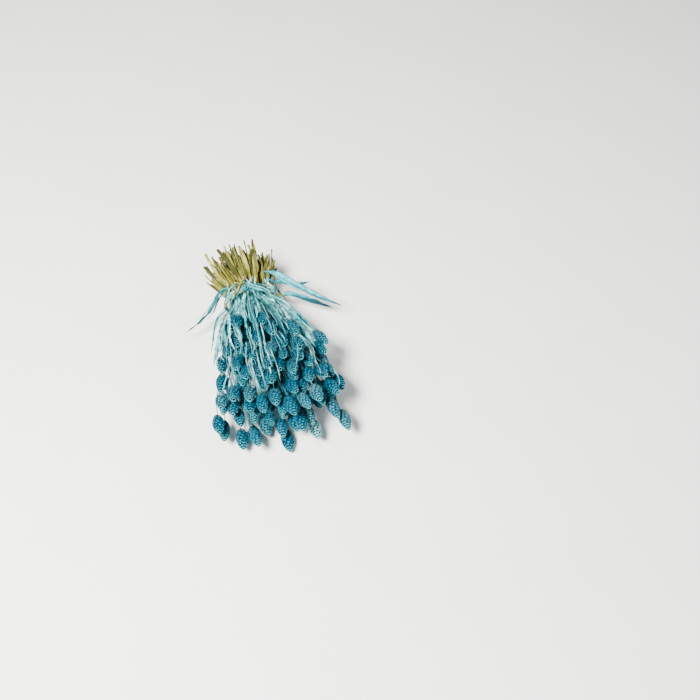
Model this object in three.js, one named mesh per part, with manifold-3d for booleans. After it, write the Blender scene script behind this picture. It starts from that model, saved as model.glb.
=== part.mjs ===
// A tied bunch of dried phalaris (canary grass) lying on its side, in millimetres with +Z up.
// The cut ends point to +Y, the seed heads to -Y, and the bunch rests on z = 0.
// Every stem runs through a tight packing of sheaths under the tie and fans out on both sides of it.
import * as THREE from "three";
import { ConvexGeometry } from "three/addons/geometries/ConvexGeometry.js";
import { mergeVertices } from "three/addons/utils/BufferGeometryUtils.js";
import Module from "manifold-3d";

// The neck: sprays of four stems, packed as square cells in rows from the floor side up. Places in the
// bunch are given in a unit section, u across and v up, whose top is an arch.
const CELL_ROWS = [5, 7, 7, 6, 3];
const STEM_PITCH = 4.8;
const CELL = 2 * STEM_PITCH;
const NECK_HALF_X = 33.6;
const NECK_HALF_Z = 24;
const NECK_FLOOR = 1.5;
const GAP = 0.36;
const SHEATH_RADIUS = (STEM_PITCH - GAP) / 2;
const SHEATH_HALF_LENGTH = 6;
const SHEATH_CUT = Math.PI / 8;
const ARCH = 1.1;

// How the bunch opens: towards the heads it flares like a bell, towards the cut ends like a broom.
const FLARE_REACH = 135;
const FLARE_X = 1.9;
const FLARE_Z = 1.15;
const HEADS_FLOOR = 1;
const DOME_START = 190;
const DOME_REACH = 95;
const DOME_DROP = 0.34;
const BUTT_LENGTH = 66;
const BUTT_ROUND = 0.2;
const BUTT_OPEN_X = 0.85;
const BUTT_OPEN_Z = 0.5;
const BUTT_FLOOR = 9;
const BUTT_LEAN = 10;

// Where the heads are: half of them cover the top, then come the front and the floor side.
const FIRST_HEAD = 84;
const FRONT_HEADS = 233;
const LAST_HEAD = 287;
const TOP_SHARE = 0.5;
const FRONT_SHARE = 0.86;
const TOP_CROWDING = 1.6;
const FLOOR_FIRST_HEAD = 85;
const EDGE_EARLY = 0.18;
const EDGE_MIDDLE = 0.6;

// The stems and their heads.
const TIP_REACH = 316;
const BEND_REACH = 75;
const STEM_RADIUS_CUT = 1.9;
const STEM_RADIUS_NECK = 1.6;
const STEM_RADIUS_HEAD = 1.0;
const STEM_SIDES = 3;
const HEAD_LENGTH = 33;
const HEAD_RADIUS = 9;
const HEAD_SIDES = 6;
const HEAD_LEVELS = [0.05, 0.24, 0.45, 0.66, 0.86];
const SCALE_VALLEY = 0.8;
const SCALE_LEAN = 0.05;

// The leaves.
const LEAF_THICKNESS = 0.8;
const LEAF_STEP = 20;
const POINTED_END = 0.12;
const BLUNT_END = 0.75;
const ROOT_GAP = 0.3;
const ROOT_STEP = 5;
const ROOT_HALF_WIDTH = 1.1;
const HOST_PULL = 0.5;
const HOST_REACH = 1.5;
const LOOSE_TURN = 0.08;

// The tie is a flat band round the neck.
const TIE_WIDTH = 4.2;
const TIE_THICKNESS = 1.3;
const TIE_POINTS = 36;

// The packing: every strand is a disc in each of many parallel planes.
const PLANE = 8;
const CUT_PLANE = -11;
const PASSES = 260;
const LAST_PASSES = 150;
const PULL = 0.05;
const PUSH = 0.8;
const SMOOTH = 0.8;
const LAST_SMOOTH = 0.5;
const CLEARANCE = 2;
const PRESSED = 0.9;
const STRAIGHT_ENOUGH = 0.9;

const STRAW = 0xb9ab6c;
const AQUA = 0x9fcdcb;
const TEAL = 0x1f7686;

// A small generator of even numbers from 0 to 1, always the same ones.
let seed = 20285;
function draw() {
  seed = (seed * 1664525 + 1013904223) % 4294967296;
  return seed / 4294967296;
}
const between = (low, high) => low + (high - low) * draw();

// Middle, half width, half height and lowest height of the bunch at a distance t from the tie. The
// broom of cut ends leans a little to -X.
function section(t) {
  if (t < 0) {
    const far = (-t / BUTT_LENGTH) ** 1.2;
    return {
      middleX: -BUTT_LEAN * far,
      halfX: NECK_HALF_X * (1 + BUTT_OPEN_X * far),
      halfZ: NECK_HALF_Z * (1 + BUTT_OPEN_Z * far),
      floor: NECK_FLOOR + (BUTT_FLOOR - NECK_FLOOR) * far,
    };
  }
  const open = 1 - Math.exp(-t / FLARE_REACH);
  const dome = 1 - DOME_DROP * Math.max(0, (t - DOME_START) / DOME_REACH) ** 2;
  return {
    middleX: 0,
    halfX: NECK_HALF_X * (1 + FLARE_X * open),
    halfZ: NECK_HALF_Z * (1 + FLARE_Z * open) * dome,
    floor: NECK_FLOOR + (HEADS_FLOOR - NECK_FLOOR) * open,
  };
}

// The top of the unit section above u.
const archTop = (u) => Math.sqrt(ARCH - Math.min(1, u * u));

// The share of the stems that have ended in a head on the top before distance t.
function endedBefore(t) {
  const along = Math.min(1, Math.max(0, (t - FIRST_HEAD) / (FRONT_HEADS - FIRST_HEAD)));
  return TOP_SHARE * along ** TOP_CROWDING;
}

// How far from the tie the stem of a given depth rank ends.
function tipOf(rank) {
  if (rank < TOP_SHARE) {
    const along = (rank / TOP_SHARE) ** (1 / TOP_CROWDING);
    return FIRST_HEAD + (FRONT_HEADS - FIRST_HEAD) * along + between(-12, 12);
  }
  if (rank < FRONT_SHARE) return between(FRONT_HEADS - 15, LAST_HEAD);
  return LAST_HEAD - (LAST_HEAD - FLOOR_FIRST_HEAD) * draw() ** 1.3;
}

// Where the strand at (u, v) of the unit section wants to be at distance t. A stem rises to the top
// as the stems above it end, and bends aside a little under its head.
function wanted(strand, t) {
  const s = section(t);
  const far = Math.min(1, Math.max(0, Math.abs(t) - 2 * PLANE) / FLARE_REACH);
  const ended = endedBefore(t);
  const top = archTop(strand.u);
  const risen = strand.v + (2 * top * ended * (1 - strand.rank)) / (1 - ended);
  const v = Math.min(risen, Math.max(strand.v, top));
  const bend = Math.max(0, 1 - (strand.tip - t) / BEND_REACH) ** 2;
  return {
    x: s.middleX + s.halfX * strand.u + strand.driftX * far + strand.bendX * bend,
    z: s.floor + s.halfZ * (1 + v) + strand.driftZ * far + strand.bendZ * bend,
  };
}

// The head's outline is an egg: widest at two fifths of its length, blunt at the stem end.
function egg(f) {
  return Math.sin(Math.PI * Math.min(1, Math.max(0, f)) ** 0.75) ** 0.7;
}

// A stem thins from its cut end to its head.
function stemRadius(t) {
  if (t < 0) {
    return STEM_RADIUS_NECK + (STEM_RADIUS_CUT - STEM_RADIUS_NECK) * Math.min(1, -t / BUTT_LENGTH);
  }
  return STEM_RADIUS_NECK + (STEM_RADIUS_HEAD - STEM_RADIUS_NECK) * Math.min(1, t / TIP_REACH);
}

// A blade's half width: narrow at its root and full a quarter of the way along. A leaf's tip is
// pointed, and a dry blade's end is cut blunt.
function bladeHalfWidth(leaf, f) {
  const end = leaf.way < 0 ? BLUNT_END : POINTED_END;
  return leaf.halfWidth * Math.min(1, 0.35 + 2.6 * f) * Math.min(1, end + 3 * (1 - f));
}

// The stems in the order of their cells, four to a cell, with the shallowest ending first.
function makeStems() {
  const stems = [];
  CELL_ROWS.forEach((count, row) => {
    for (let column = 0; column < count; column++) {
      const cellX = (column - (count - 1) / 2) * CELL;
      const cellZ = NECK_FLOOR + (row + 0.5) * CELL;
      for (const [i, k] of [[-1, -1], [1, -1], [1, 1], [-1, 1]]) {
        const x = cellX + (i * STEM_PITCH) / 2;
        const z = cellZ + (k * STEM_PITCH) / 2;
        const u = x / NECK_HALF_X;
        const v = (z - NECK_FLOOR) / NECK_HALF_Z - 1;
        const top = archTop(u);
        stems.push({
          kind: "stem",
          u,
          v,
          depth: (top - v) / (2 * top) - EDGE_EARLY * u * (u - EDGE_MIDDLE) + between(-0.14, 0.14),
          neckX: x,
          neckZ: z,
          driftX: between(-7, 7),
          driftZ: between(-5, 5),
          bendX: between(-12, 12),
          bendZ: between(-4, 6),
          start: -BUTT_LENGTH * (1 - BUTT_ROUND * u * u) + between(-10, 10),
          headLength: HEAD_LENGTH * between(0.86, 1.1),
          headRadius: HEAD_RADIUS * between(0.86, 1.06),
          turn: between(0, Math.PI),
        });
      }
    }
  });
  const byDepth = [...stems].sort((a, b) => a.depth - b.depth);
  byDepth.forEach((stem, i) => {
    stem.rank = i / (stems.length - 1);
    stem.tip = tipOf(stem.rank);
  });
  return stems;
}

// Leaves grow from stems beside the neck. Most lie along the outside of the bunch, some between the
// stems, fused to their own, and a few dry blades point to the cut ends. Angles are in half turns.
function makeLeaves() {
  const leaves = [];
  const places = [
    { name: "leaf", count: 15, from: 0.02, to: 0.98, reach: 1, way: 1 },
    { name: "leaf", count: 2, from: 1.02, to: 1.24, reach: 1, way: 1 },
    { name: "leaf", count: 2, from: 1.76, to: 1.98, reach: 1, way: 1 },
    { name: "dry_blade", count: 5, from: 0.15, to: 0.85, reach: 1, way: -1 },
    { name: "inner_leaf", count: 12, from: 0.06, to: 0.94, reach: 0.8, way: 1, fused: true },
  ];
  for (const { name, count, from, to, reach, way, fused } of places) {
    for (let i = 0; i < count; i++) {
      const angle = Math.PI * (from + ((to - from) * (i + between(0.2, 0.8))) / count);
      const start = way > 0 ? between(24, 40) : between(-22, -18);
      const length = way > 0 ? between(60, 125) : between(36, 50);
      leaves.push({
        kind: "leaf",
        name,
        way,
        fused,
        u: 1.13 * reach * Math.cos(angle),
        v: 1.16 * reach * Math.sin(angle),
        driftX: between(-4, 4),
        driftZ: between(-2, 2),
        bendX: 0,
        bendZ: 0,
        rank: 0,
        start: way > 0 ? start : start - length,
        tip: way > 0 ? start + length : start,
        halfWidth: between(2.8, 4),
        turn: between(-0.5, 0.5),
        twist: between(-0.012, 0.012),
      });
    }
  }
  return leaves;
}

// A strand's disc radius in the plane at distance t, or nothing where the strand isn't there. A head
// counts with its widest section within half a step of the plane.
function discRadius(strand, t) {
  if (t < strand.start || t > strand.tip) return 0;
  if (strand.kind === "leaf") {
    const f = (t - strand.start) / (strand.tip - strand.start);
    return bladeHalfWidth(strand, strand.way > 0 ? f : 1 - f) + LEAF_THICKNESS / 4;
  }
  const sections = [-PLANE / 2, 0, PLANE / 2].map((step) => {
    return egg((t + step - strand.tip + strand.headLength) / strand.headLength);
  });
  return Math.max(stemRadius(t), strand.headRadius * Math.max(...sections));
}

// Pushes the discs of each plane apart, keeps each strand smooth and near its place, and off the floor.
function pack(strands) {
  const planes = Math.ceil(TIP_REACH / PLANE) - CUT_PLANE + 1;
  const distance = (j) => (j + CUT_PLANE) * PLANE;
  for (const s of strands) {
    s.radius = Array.from({ length: planes }, (_, j) => discRadius(s, distance(j)));
    const places = s.radius.map((_, j) => wanted(s, distance(j)));
    s.x = places.map((p) => p.x);
    s.z = places.map((p) => p.z);
    s.homeX = [...s.x];
    s.homeZ = [...s.z];
    s.first = s.radius.findIndex((r) => r > 0);
    s.last = planes - 1 - [...s.radius].reverse().findIndex((r) => r > 0);
    s.pinned = s.radius.map((_, j) => s.kind === "stem" && Math.abs(distance(j)) <= PLANE);
    s.pinned.forEach((pinned, j) => {
      if (pinned) [s.x[j], s.z[j]] = [s.neckX, s.neckZ];
    });
  }
  for (const s of strands) if (s.kind === "leaf") chooseHost(s, strands, distance);
  for (let pass = 0; pass < PASSES; pass++) {
    const last = pass >= PASSES - LAST_PASSES;
    for (const s of strands) smoothAndPull(s, last ? LAST_SMOOTH : SMOOTH, last ? 0 : PULL);
    for (let j = 0; j < planes; j++) separate(strands.filter((s) => s.radius[j] > 0 && !s.pinned[j]), j);
    for (const s of strands) {
      if (s.kind === "stem") straightenHead(s);
      else drawToHost(s);
    }
  }
}

// A leaf grows from the outermost stem near it that has none yet on that side of the tie.
function chooseHost(leaf, strands, distance) {
  const j = leaf.way > 0 ? leaf.first : leaf.last;
  const { middleX, floor, halfZ } = section(distance(j));
  const out = { x: leaf.homeX[j] - middleX, z: leaf.homeZ[j] - floor - halfZ };
  let nearest = Infinity;
  for (const s of strands) {
    if (s.kind !== "stem" || s.hosts === leaf.way || s.tip - s.headLength < distance(j + 1)) continue;
    const offX = s.homeX[j] - middleX - HOST_REACH * out.x;
    const offZ = s.homeZ[j] - floor - halfZ - HOST_REACH * out.z;
    const far = Math.hypot(offX, offZ);
    if (far < nearest) [nearest, leaf.host] = [far, s];
  }
  leaf.host.hosts = leaf.way;
  leaf.rootPlane = j;
  const length = Math.hypot(out.x, out.z);
  const away = leaf.host.radius[j] + leaf.radius[j] + CLEARANCE;
  leaf.offset = { x: (away * out.x) / length, z: (away * out.z) / length };
}

// The root end of a leaf stays beside its host.
function drawToHost(leaf) {
  for (const step of [0, 1]) {
    const j = leaf.rootPlane + step * leaf.way;
    leaf.x[j] += (HOST_PULL / (1 + step)) * (leaf.host.x[j] + leaf.offset.x - leaf.x[j]);
    leaf.z[j] += (HOST_PULL / (1 + step)) * (leaf.host.z[j] + leaf.offset.z - leaf.z[j]);
  }
}

// A head is stiff: its planes keep to the straight line that fits them best.
function straightenHead(s) {
  const first = Math.ceil((s.tip - s.headLength) / PLANE) - CUT_PLANE;
  const count = s.last - first + 1;
  const middle = (first + s.last) / 2;
  for (const axis of ["x", "z"]) {
    let mean = 0;
    let slope = 0;
    let spread = 0;
    for (let j = first; j <= s.last; j++) {
      mean += s[axis][j] / count;
      slope += (j - middle) * s[axis][j];
      spread += (j - middle) * (j - middle);
    }
    for (let j = first; j <= s.last; j++) s[axis][j] = mean + (slope / spread) * (j - middle);
  }
}

// Moves each point of a strand towards the middle of its neighbours and towards its own place.
function smoothAndPull(s, smooth, pull) {
  const { x, z } = s;
  const nextX = [...x];
  const nextZ = [...z];
  for (let j = s.first; j <= s.last; j++) {
    if (s.pinned[j]) continue;
    if (j > s.first && j < s.last) {
      nextX[j] += smooth * ((x[j - 1] + x[j + 1]) / 2 - x[j]);
      nextZ[j] += smooth * ((z[j - 1] + z[j + 1]) / 2 - z[j]);
    }
    nextX[j] += pull * (s.homeX[j] - x[j]);
    nextZ[j] += pull * (s.homeZ[j] - z[j]);
  }
  s.x = nextX;
  s.z = nextZ;
}

// Moves the discs of one plane apart where they are too close, the wider ones less.
function separate(discs, j) {
  const n = discs.length;
  const moveX = new Array(n).fill(0);
  const moveZ = new Array(n).fill(0);
  for (let a = 0; a < n; a++) {
    for (let b = a + 1; b < n; b++) {
      const dx = discs[b].x[j] - discs[a].x[j];
      const dz = discs[b].z[j] - discs[a].z[j];
      const need = discs[a].radius[j] + discs[b].radius[j] + CLEARANCE;
      const far = Math.sqrt(dx * dx + dz * dz);
      if (far >= need || far === 0) continue;
      const share = discs[b].radius[j] / (discs[a].radius[j] + discs[b].radius[j]);
      const push = (PUSH * (need - far)) / far;
      moveX[a] -= push * share * dx;
      moveZ[a] -= push * share * dz;
      moveX[b] += push * (1 - share) * dx;
      moveZ[b] += push * (1 - share) * dz;
    }
  }
  discs.forEach((s, a) => {
    s.x[j] += moveX[a];
    s.z[j] = Math.max(s.z[j] + moveZ[a], s.radius[j] - PRESSED);
  });
}

// The packed path as points, from the strand's start to a given distance along it.
function pathTo(s, end) {
  const points = [];
  const at = (t) => {
    const j = t / PLANE - CUT_PLANE;
    const a = Math.min(s.last - 1, Math.max(s.first, Math.floor(j)));
    const f = j - a;
    return new THREE.Vector3(s.x[a] + f * (s.x[a + 1] - s.x[a]), -t, s.z[a] + f * (s.z[a + 1] - s.z[a]));
  };
  points.push(at(s.start));
  for (let j = s.first + 1; j <= s.last; j++) {
    const t = (j + CUT_PLANE) * PLANE;
    if (t < end - PLANE / 4) points.push(at(t));
  }
  points.push(at(end));
  return points;
}

// Leaves out the points that lie within a tolerance of the line between their neighbours.
function simplify(points, tolerance) {
  if (points.length < 3) return points;
  const line = new THREE.Line3(points[0], points[points.length - 1]);
  const near = new THREE.Vector3();
  let worst = 0;
  let split = 0;
  points.forEach((p, i) => {
    const off = line.closestPointToPoint(p, true, near).distanceTo(p);
    if (off > worst) [worst, split] = [off, i];
  });
  if (worst <= tolerance) return [points[0], points[points.length - 1]];
  const first = simplify(points.slice(0, split + 1), tolerance);
  return [...first.slice(0, -1), ...simplify(points.slice(split), tolerance)];
}

// A stem's path up to its head, simplified on each side of its straight run under the tie.
function stemPath(stem) {
  const points = pathTo(stem, stem.tip - stem.headLength);
  const cutSide = points.findIndex((p) => -p.y >= -PLANE);
  const headSide = points.findIndex((p) => -p.y >= PLANE);
  return [
    ...simplify(points.slice(0, cutSide + 1), STRAIGHT_ENOUGH),
    ...simplify(points.slice(headSide), STRAIGHT_ENOUGH),
  ];
}

// Two directions across a path that runs mostly along Y.
function across(direction) {
  const side = new THREE.Vector3().crossVectors(direction, new THREE.Vector3(0, 0, 1)).normalize();
  return { side, up: new THREE.Vector3().crossVectors(side, direction).normalize() };
}

// The direction of a path at one of its points.
function directionAt(points, i) {
  const a = points[Math.max(0, i - 1)];
  const b = points[Math.min(points.length - 1, i + 1)];
  return new THREE.Vector3().subVectors(b, a).normalize();
}

// Points round a centre at the given radii.
function ringAt(centre, frame, radii, turn) {
  return radii.map((radius, k) => {
    const angle = turn + (2 * Math.PI * k) / radii.length;
    return centre
      .clone()
      .addScaledVector(frame.side, radius * Math.cos(angle))
      .addScaledVector(frame.up, radius * Math.sin(angle));
  });
}

// A closed surface through rings of points. A ring may have twice as many points as the one before.
function loft(rings, tip) {
  const positions = [];
  const face = (a, b, c) => positions.push(...a, ...b, ...c);
  for (let i = 0; i + 1 < rings.length; i++) {
    const [low, high] = [rings[i], rings[i + 1]];
    const ratio = high.length / low.length;
    low.forEach((p, k) => {
      const q = low[(k + 1) % low.length];
      const m = k * ratio;
      if (ratio === 2) face(p, high[m], high[m + 1]);
      const h = high[(m + ratio - 1) % high.length];
      face(p, h, q);
      face(q, h, high[(m + ratio) % high.length]);
    });
  }
  const first = rings[0];
  const end = rings[rings.length - 1];
  for (let k = 1; k + 1 < first.length; k++) face(first[0], first[k], first[k + 1]);
  if (tip) end.forEach((p, k) => face(p, tip, end[(k + 1) % end.length]));
  else for (let k = 1; k + 1 < end.length; k++) face(end[0], end[k + 1], end[k]);
  const geometry = new THREE.BufferGeometry();
  const flat = positions.flatMap((value) => (value.isVector3 ? value.toArray() : value));
  return geometry.setAttribute("position", new THREE.Float32BufferAttribute(flat, 3));
}

// One stem with its head: a thin tube that widens into rings whose every second point is a raised scale.
function stemGeometry(stem) {
  const path = stem.path;
  const rings = path.map((point, i) => {
    const radius = stemRadius(-point.y);
    return ringAt(point, across(directionAt(path, i)), Array(STEM_SIDES).fill(radius), stem.turn);
  });
  const foot = path[path.length - 1];
  const tip = pathTo(stem, stem.tip).pop();
  const axis = new THREE.Vector3().subVectors(tip, foot);
  const frame = across(axis.clone().normalize());
  const turnUp = stem.turn - Math.PI / HEAD_SIDES;
  HEAD_LEVELS.forEach((f, level) => {
    const radii = Array.from({ length: HEAD_SIDES }, (_, k) => {
      return stem.headRadius * egg(f) * ((k + level) % 2 ? 1 : SCALE_VALLEY);
    });
    const ring = ringAt(foot.clone().addScaledVector(axis, f), frame, radii, turnUp);
    ring.forEach((p, k) => p.addScaledVector(axis, (k + level) % 2 ? SCALE_LEAN : 0));
    rings.push(ring);
  });
  return loft(rings, tip);
}

// The sheaths of a spray's four stems, pressed together under the tie: a block with cut corners, two
// for each stem on either side of its direction from the block's middle.
function sheathGeometry(stems) {
  const middleX = stems.reduce((sum, stem) => sum + stem.neckX / stems.length, 0);
  const middleZ = stems.reduce((sum, stem) => sum + stem.neckZ / stems.length, 0);
  const corners = [];
  for (const stem of stems) {
    const direction = Math.atan2(stem.neckZ - middleZ, stem.neckX - middleX);
    for (const turn of [-SHEATH_CUT, SHEATH_CUT]) {
      const x = stem.neckX + SHEATH_RADIUS * Math.cos(direction + turn);
      const z = stem.neckZ + SHEATH_RADIUS * Math.sin(direction + turn);
      corners.push(new THREE.Vector3(x, -SHEATH_HALF_LENGTH, z), new THREE.Vector3(x, SHEATH_HALF_LENGTH, z));
    }
  }
  return new ConvexGeometry(corners);
}

// A blade along a path, four-cornered in section, with its face turned to a given outward direction.
function bladeGeometry(points, halfWidths, outwards, turns) {
  const rings = points.map((point, i) => {
    const direction = directionAt(points, i);
    const side = new THREE.Vector3().crossVectors(direction, outwards[i]).normalize();
    const up = new THREE.Vector3().crossVectors(side, direction).normalize();
    const wide = side.clone().applyAxisAngle(direction, turns[i]).multiplyScalar(halfWidths[i]);
    const thick = up.applyAxisAngle(direction, turns[i]).multiplyScalar(LEAF_THICKNESS / 2);
    return [[1, 1], [-1, 1], [-1, -1], [1, -1]].map(([a, b]) => {
      return point.clone().addScaledVector(wide, a).addScaledVector(thick, b);
    });
  });
  return loft(rings);
}

// A leaf's blade. Its root stands just clear of its host stem, or inside it where the two are one.
function leafGeometry(leaf) {
  const { host, rootPlane, way } = leaf;
  const rootT = (rootPlane + CUT_PLANE) * PLANE - way * ROOT_STEP;
  const side = { x: leaf.x[rootPlane] - host.x[rootPlane], z: leaf.z[rootPlane] - host.z[rootPlane] };
  const outward = new THREE.Vector3(side.x, 0, side.z).normalize();
  const root = pointOn(host.path, rootT);
  root.addScaledVector(outward, leaf.fused ? 0 : clearOf(host, rootT, outward));
  const path = pathTo(leaf, leaf.tip);
  const free = way > 0 ? path.slice(1) : path.slice(0, -1).reverse();
  const points = [root, ...free.filter((_, i) => i % 2 === 0 || i === free.length - 1)];
  const outwards = points.map((p) => {
    const { middleX, halfX, floor, halfZ } = section(-p.y);
    return new THREE.Vector3((p.x - middleX) / halfX, 0, (p.z - floor - halfZ) / halfZ).normalize();
  });
  outwards[0] = outward;
  const last = points.length - 1;
  const halfWidths = points.map((_, i) => (i === 0 ? ROOT_HALF_WIDTH : bladeHalfWidth(leaf, (i - 1) / last)));
  const turns = points.map((p, i) => (i === 0 ? 0 : leaf.turn + leaf.twist * Math.abs(p.y - root.y)));
  return bladeGeometry(points, halfWidths, outwards, turns);
}

// How far a stem's own corners reach from its axis in a given direction across it.
function stemReach(stem, t, outward) {
  const frame = across(new THREE.Vector3(0, -1, 0));
  const radii = Array(STEM_SIDES).fill(stemRadius(t));
  const corners = ringAt(new THREE.Vector3(), frame, radii, stem.turn);
  return Math.max(...corners.map((corner) => corner.dot(outward)));
}

// How far from a stem's axis the middle of a leaf's root stands.
function clearOf(stem, t, outward) {
  return stemReach(stem, t, outward) + ROOT_GAP + LEAF_THICKNESS / 2;
}

// The point of a path at distance t from the tie.
function pointOn(path, t) {
  const next = path.findIndex((p) => -p.y > t);
  const [a, b] = [path[next - 1], path[next]];
  return a.clone().lerp(b, (t + a.y) / (a.y - b.y));
}

// The tie follows the outline of the packed sheaths: the furthest stem in each direction, plus a gap.
function tieGeometry(stems) {
  const rings = [];
  for (let i = 0; i < TIE_POINTS; i++) {
    const angle = (2 * Math.PI * i) / TIE_POINTS;
    const out = new THREE.Vector3(Math.cos(angle), 0, Math.sin(angle));
    let far = stems[0];
    for (const stem of stems) {
      const gain = (stem.neckX - far.neckX) * out.x + (stem.neckZ - far.neckZ) * out.z;
      if (gain > 1e-9) far = stem;
    }
    const centre = new THREE.Vector3(far.neckX, 0, far.neckZ);
    const inner = centre.clone().addScaledVector(out, SHEATH_RADIUS + GAP);
    const outer = inner.clone().addScaledVector(out, TIE_THICKNESS);
    const half = new THREE.Vector3(0, TIE_WIDTH / 2, 0);
    rings.push([
      inner.clone().sub(half),
      outer.clone().sub(half),
      outer.clone().add(half),
      inner.clone().add(half),
    ]);
  }
  return closedLoft(rings);
}

// A ring-shaped surface through sections that come back to the first.
function closedLoft(rings) {
  const positions = [];
  rings.forEach((ring, i) => {
    const next = rings[(i + 1) % rings.length];
    ring.forEach((p, k) => {
      const m = (k + 1) % ring.length;
      for (const v of [p, ring[m], next[k], ring[m], next[m], next[k]]) positions.push(v.x, v.y, v.z);
    });
  });
  const geometry = new THREE.BufferGeometry();
  return geometry.setAttribute("position", new THREE.Float32BufferAttribute(positions, 3));
}

// Loose leaves that leave the neck and reach out to the sides, as places along each. The first place
// picks the stem that the leaf grows from.
const LOOSE_LEAVES = [
  {
    name: "loose_leaf_right_1",
    halfWidth: 5.4,
    places: [[24, 31, 58], [44, 2, 68], [67, -18, 62], [98, -37, 50], [132, -53, 38]],
  },
  {
    name: "loose_leaf_right_2",
    halfWidth: 4.2,
    places: [[34, 14, 46], [47, -2, 55], [66, -12, 56], [90, -10, 55]],
  },
  {
    name: "loose_leaf_right_3",
    halfWidth: 4.8,
    places: [[40, -11, 36], [57, -16, 41], [82, -28, 36], [120, -44, 26]],
  },
  {
    name: "loose_leaf_left_1",
    halfWidth: 3.4,
    places: [[-30, 14, 47], [-51, -3, 51], [-67, -27, 43], [-88, -42, 34], [-115, -53, 24]],
  },
  {
    name: "loose_leaf_left_2",
    halfWidth: 2.6,
    places: [[-44, -18, 31], [-59, -36, 32], [-68, -56, 28], [-74, -76, 22], [-80, -92, 14]],
  },
];

// A loose leaf's blade along a smooth curve through its places, its root flat against its stem.
function looseLeafGeometry(leaf, stems) {
  const places = leaf.places.map((p) => new THREE.Vector3(...p));
  const { root, outward } = besideStem(places[0], stems);
  places[0] = root;
  const curve = new THREE.CatmullRomCurve3(places);
  const count = Math.max(5, Math.round(curve.getLength() / LEAF_STEP));
  const points = curve.getSpacedPoints(count);
  const halfWidths = points.map((_, i) => bladeHalfWidth(leaf, i / count));
  const outwards = points.map((_, i) => (i === 0 ? outward : new THREE.Vector3(0, 0, 1)));
  return bladeGeometry(points, halfWidths, outwards, points.map((_, i) => LOOSE_TURN * i));
}

// The place beside the stem nearest to a point, and the direction from the stem to it.
function besideStem(point, stems) {
  const away = (stem) => pointOn(stem.path, -point.y).distanceTo(point);
  const host = stems.reduce((a, b) => (away(a) < away(b) ? a : b));
  const centre = pointOn(host.path, -point.y);
  const outward = point.clone().sub(centre).normalize();
  return { root: centre.addScaledVector(outward, clearOf(host, -point.y, outward)), outward };
}

const wasm = await Module();
wasm.setup();

// A closed geometry as a solid that can be joined and cut.
function solid(geometry) {
  const bare = new THREE.BufferGeometry().setAttribute("position", geometry.getAttribute("position"));
  const merged = mergeVertices(bare, 1e-4);
  return new wasm.Manifold(
    new wasm.Mesh({
      numProp: 3,
      vertProperties: merged.attributes.position.array,
      triVerts: new Uint32Array(merged.index.array),
    }),
  );
}

// A solid's geometry, to draw.
function geometryOf(manifold) {
  const mesh = manifold.getMesh();
  const geometry = new THREE.BufferGeometry();
  const positions = new Float32Array(mesh.numVert * 3);
  for (let i = 0; i < mesh.numVert; i++) {
    positions.set(mesh.vertProperties.subarray(i * mesh.numProp, i * mesh.numProp + 3), i * 3);
  }
  geometry.setAttribute("position", new THREE.Float32BufferAttribute(positions, 3));
  geometry.setIndex(new THREE.BufferAttribute(mesh.triVerts, 1));
  geometry.computeVertexNormals();
  return geometry;
}

// What would reach under the floor is pressed flat against it.
function pressedFlat(manifold) {
  return manifold.trimByPlane([0, 0, 1], 0);
}

const stems = makeStems();
const leaves = makeLeaves();
pack([...stems, ...leaves]);
for (const stem of stems) stem.path = stemPath(stem);

const bunch = new THREE.Group();

function addPiece(name, manifold, color) {
  const material = new THREE.MeshStandardMaterial({ color, roughness: 0.85, metalness: 0 });
  const mesh = new THREE.Mesh(geometryOf(manifold), material);
  mesh.name = name;
  bunch.add(mesh);
}

const number = (i) => String(i + 1).padStart(2, "0");

// Each spray is its four stems, their sheaths under the tie and the inner leaves that grow from them.
for (let i = 0; i * 4 < stems.length; i++) {
  const own = stems.slice(4 * i, 4 * i + 4);
  let spray = solid(sheathGeometry(own));
  for (const stem of own) spray = spray.add(solid(stemGeometry(stem)));
  for (const leaf of leaves) {
    if (leaf.fused && own.includes(leaf.host)) spray = spray.add(solid(leafGeometry(leaf)));
  }
  addPiece(`spray_${number(i)}`, pressedFlat(spray), TEAL);
}
for (const [kind, color] of [["leaf", AQUA], ["dry_blade", STRAW]]) {
  const own = leaves.filter((leaf) => leaf.name === kind);
  own.forEach((leaf, i) => addPiece(`${kind}_${number(i)}`, pressedFlat(solid(leafGeometry(leaf))), color));
}
for (const leaf of LOOSE_LEAVES) {
  addPiece(leaf.name, pressedFlat(solid(looseLeafGeometry(leaf, stems))), AQUA);
}
addPiece("tie_band", solid(tieGeometry(stems)), AQUA);

// The frame's origin is under the middle of the bunch.
const box = new THREE.Box3().setFromObject(bunch);
bunch.position.set(-(box.min.x + box.max.x) / 2, -(box.min.y + box.max.y) / 2, 0);

export default bunch;
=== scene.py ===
"""A tied bunch of dried, dyed phalaris grass lying on its side, with its seed heads towards -Y.

Every stem, head and leaf lies where the packed frame has it, because both follow the same seeded rule:
strands run through a tight neck and are pushed apart, plane by plane, until none touch.
"""

import functools
import math
from types import SimpleNamespace

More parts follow.
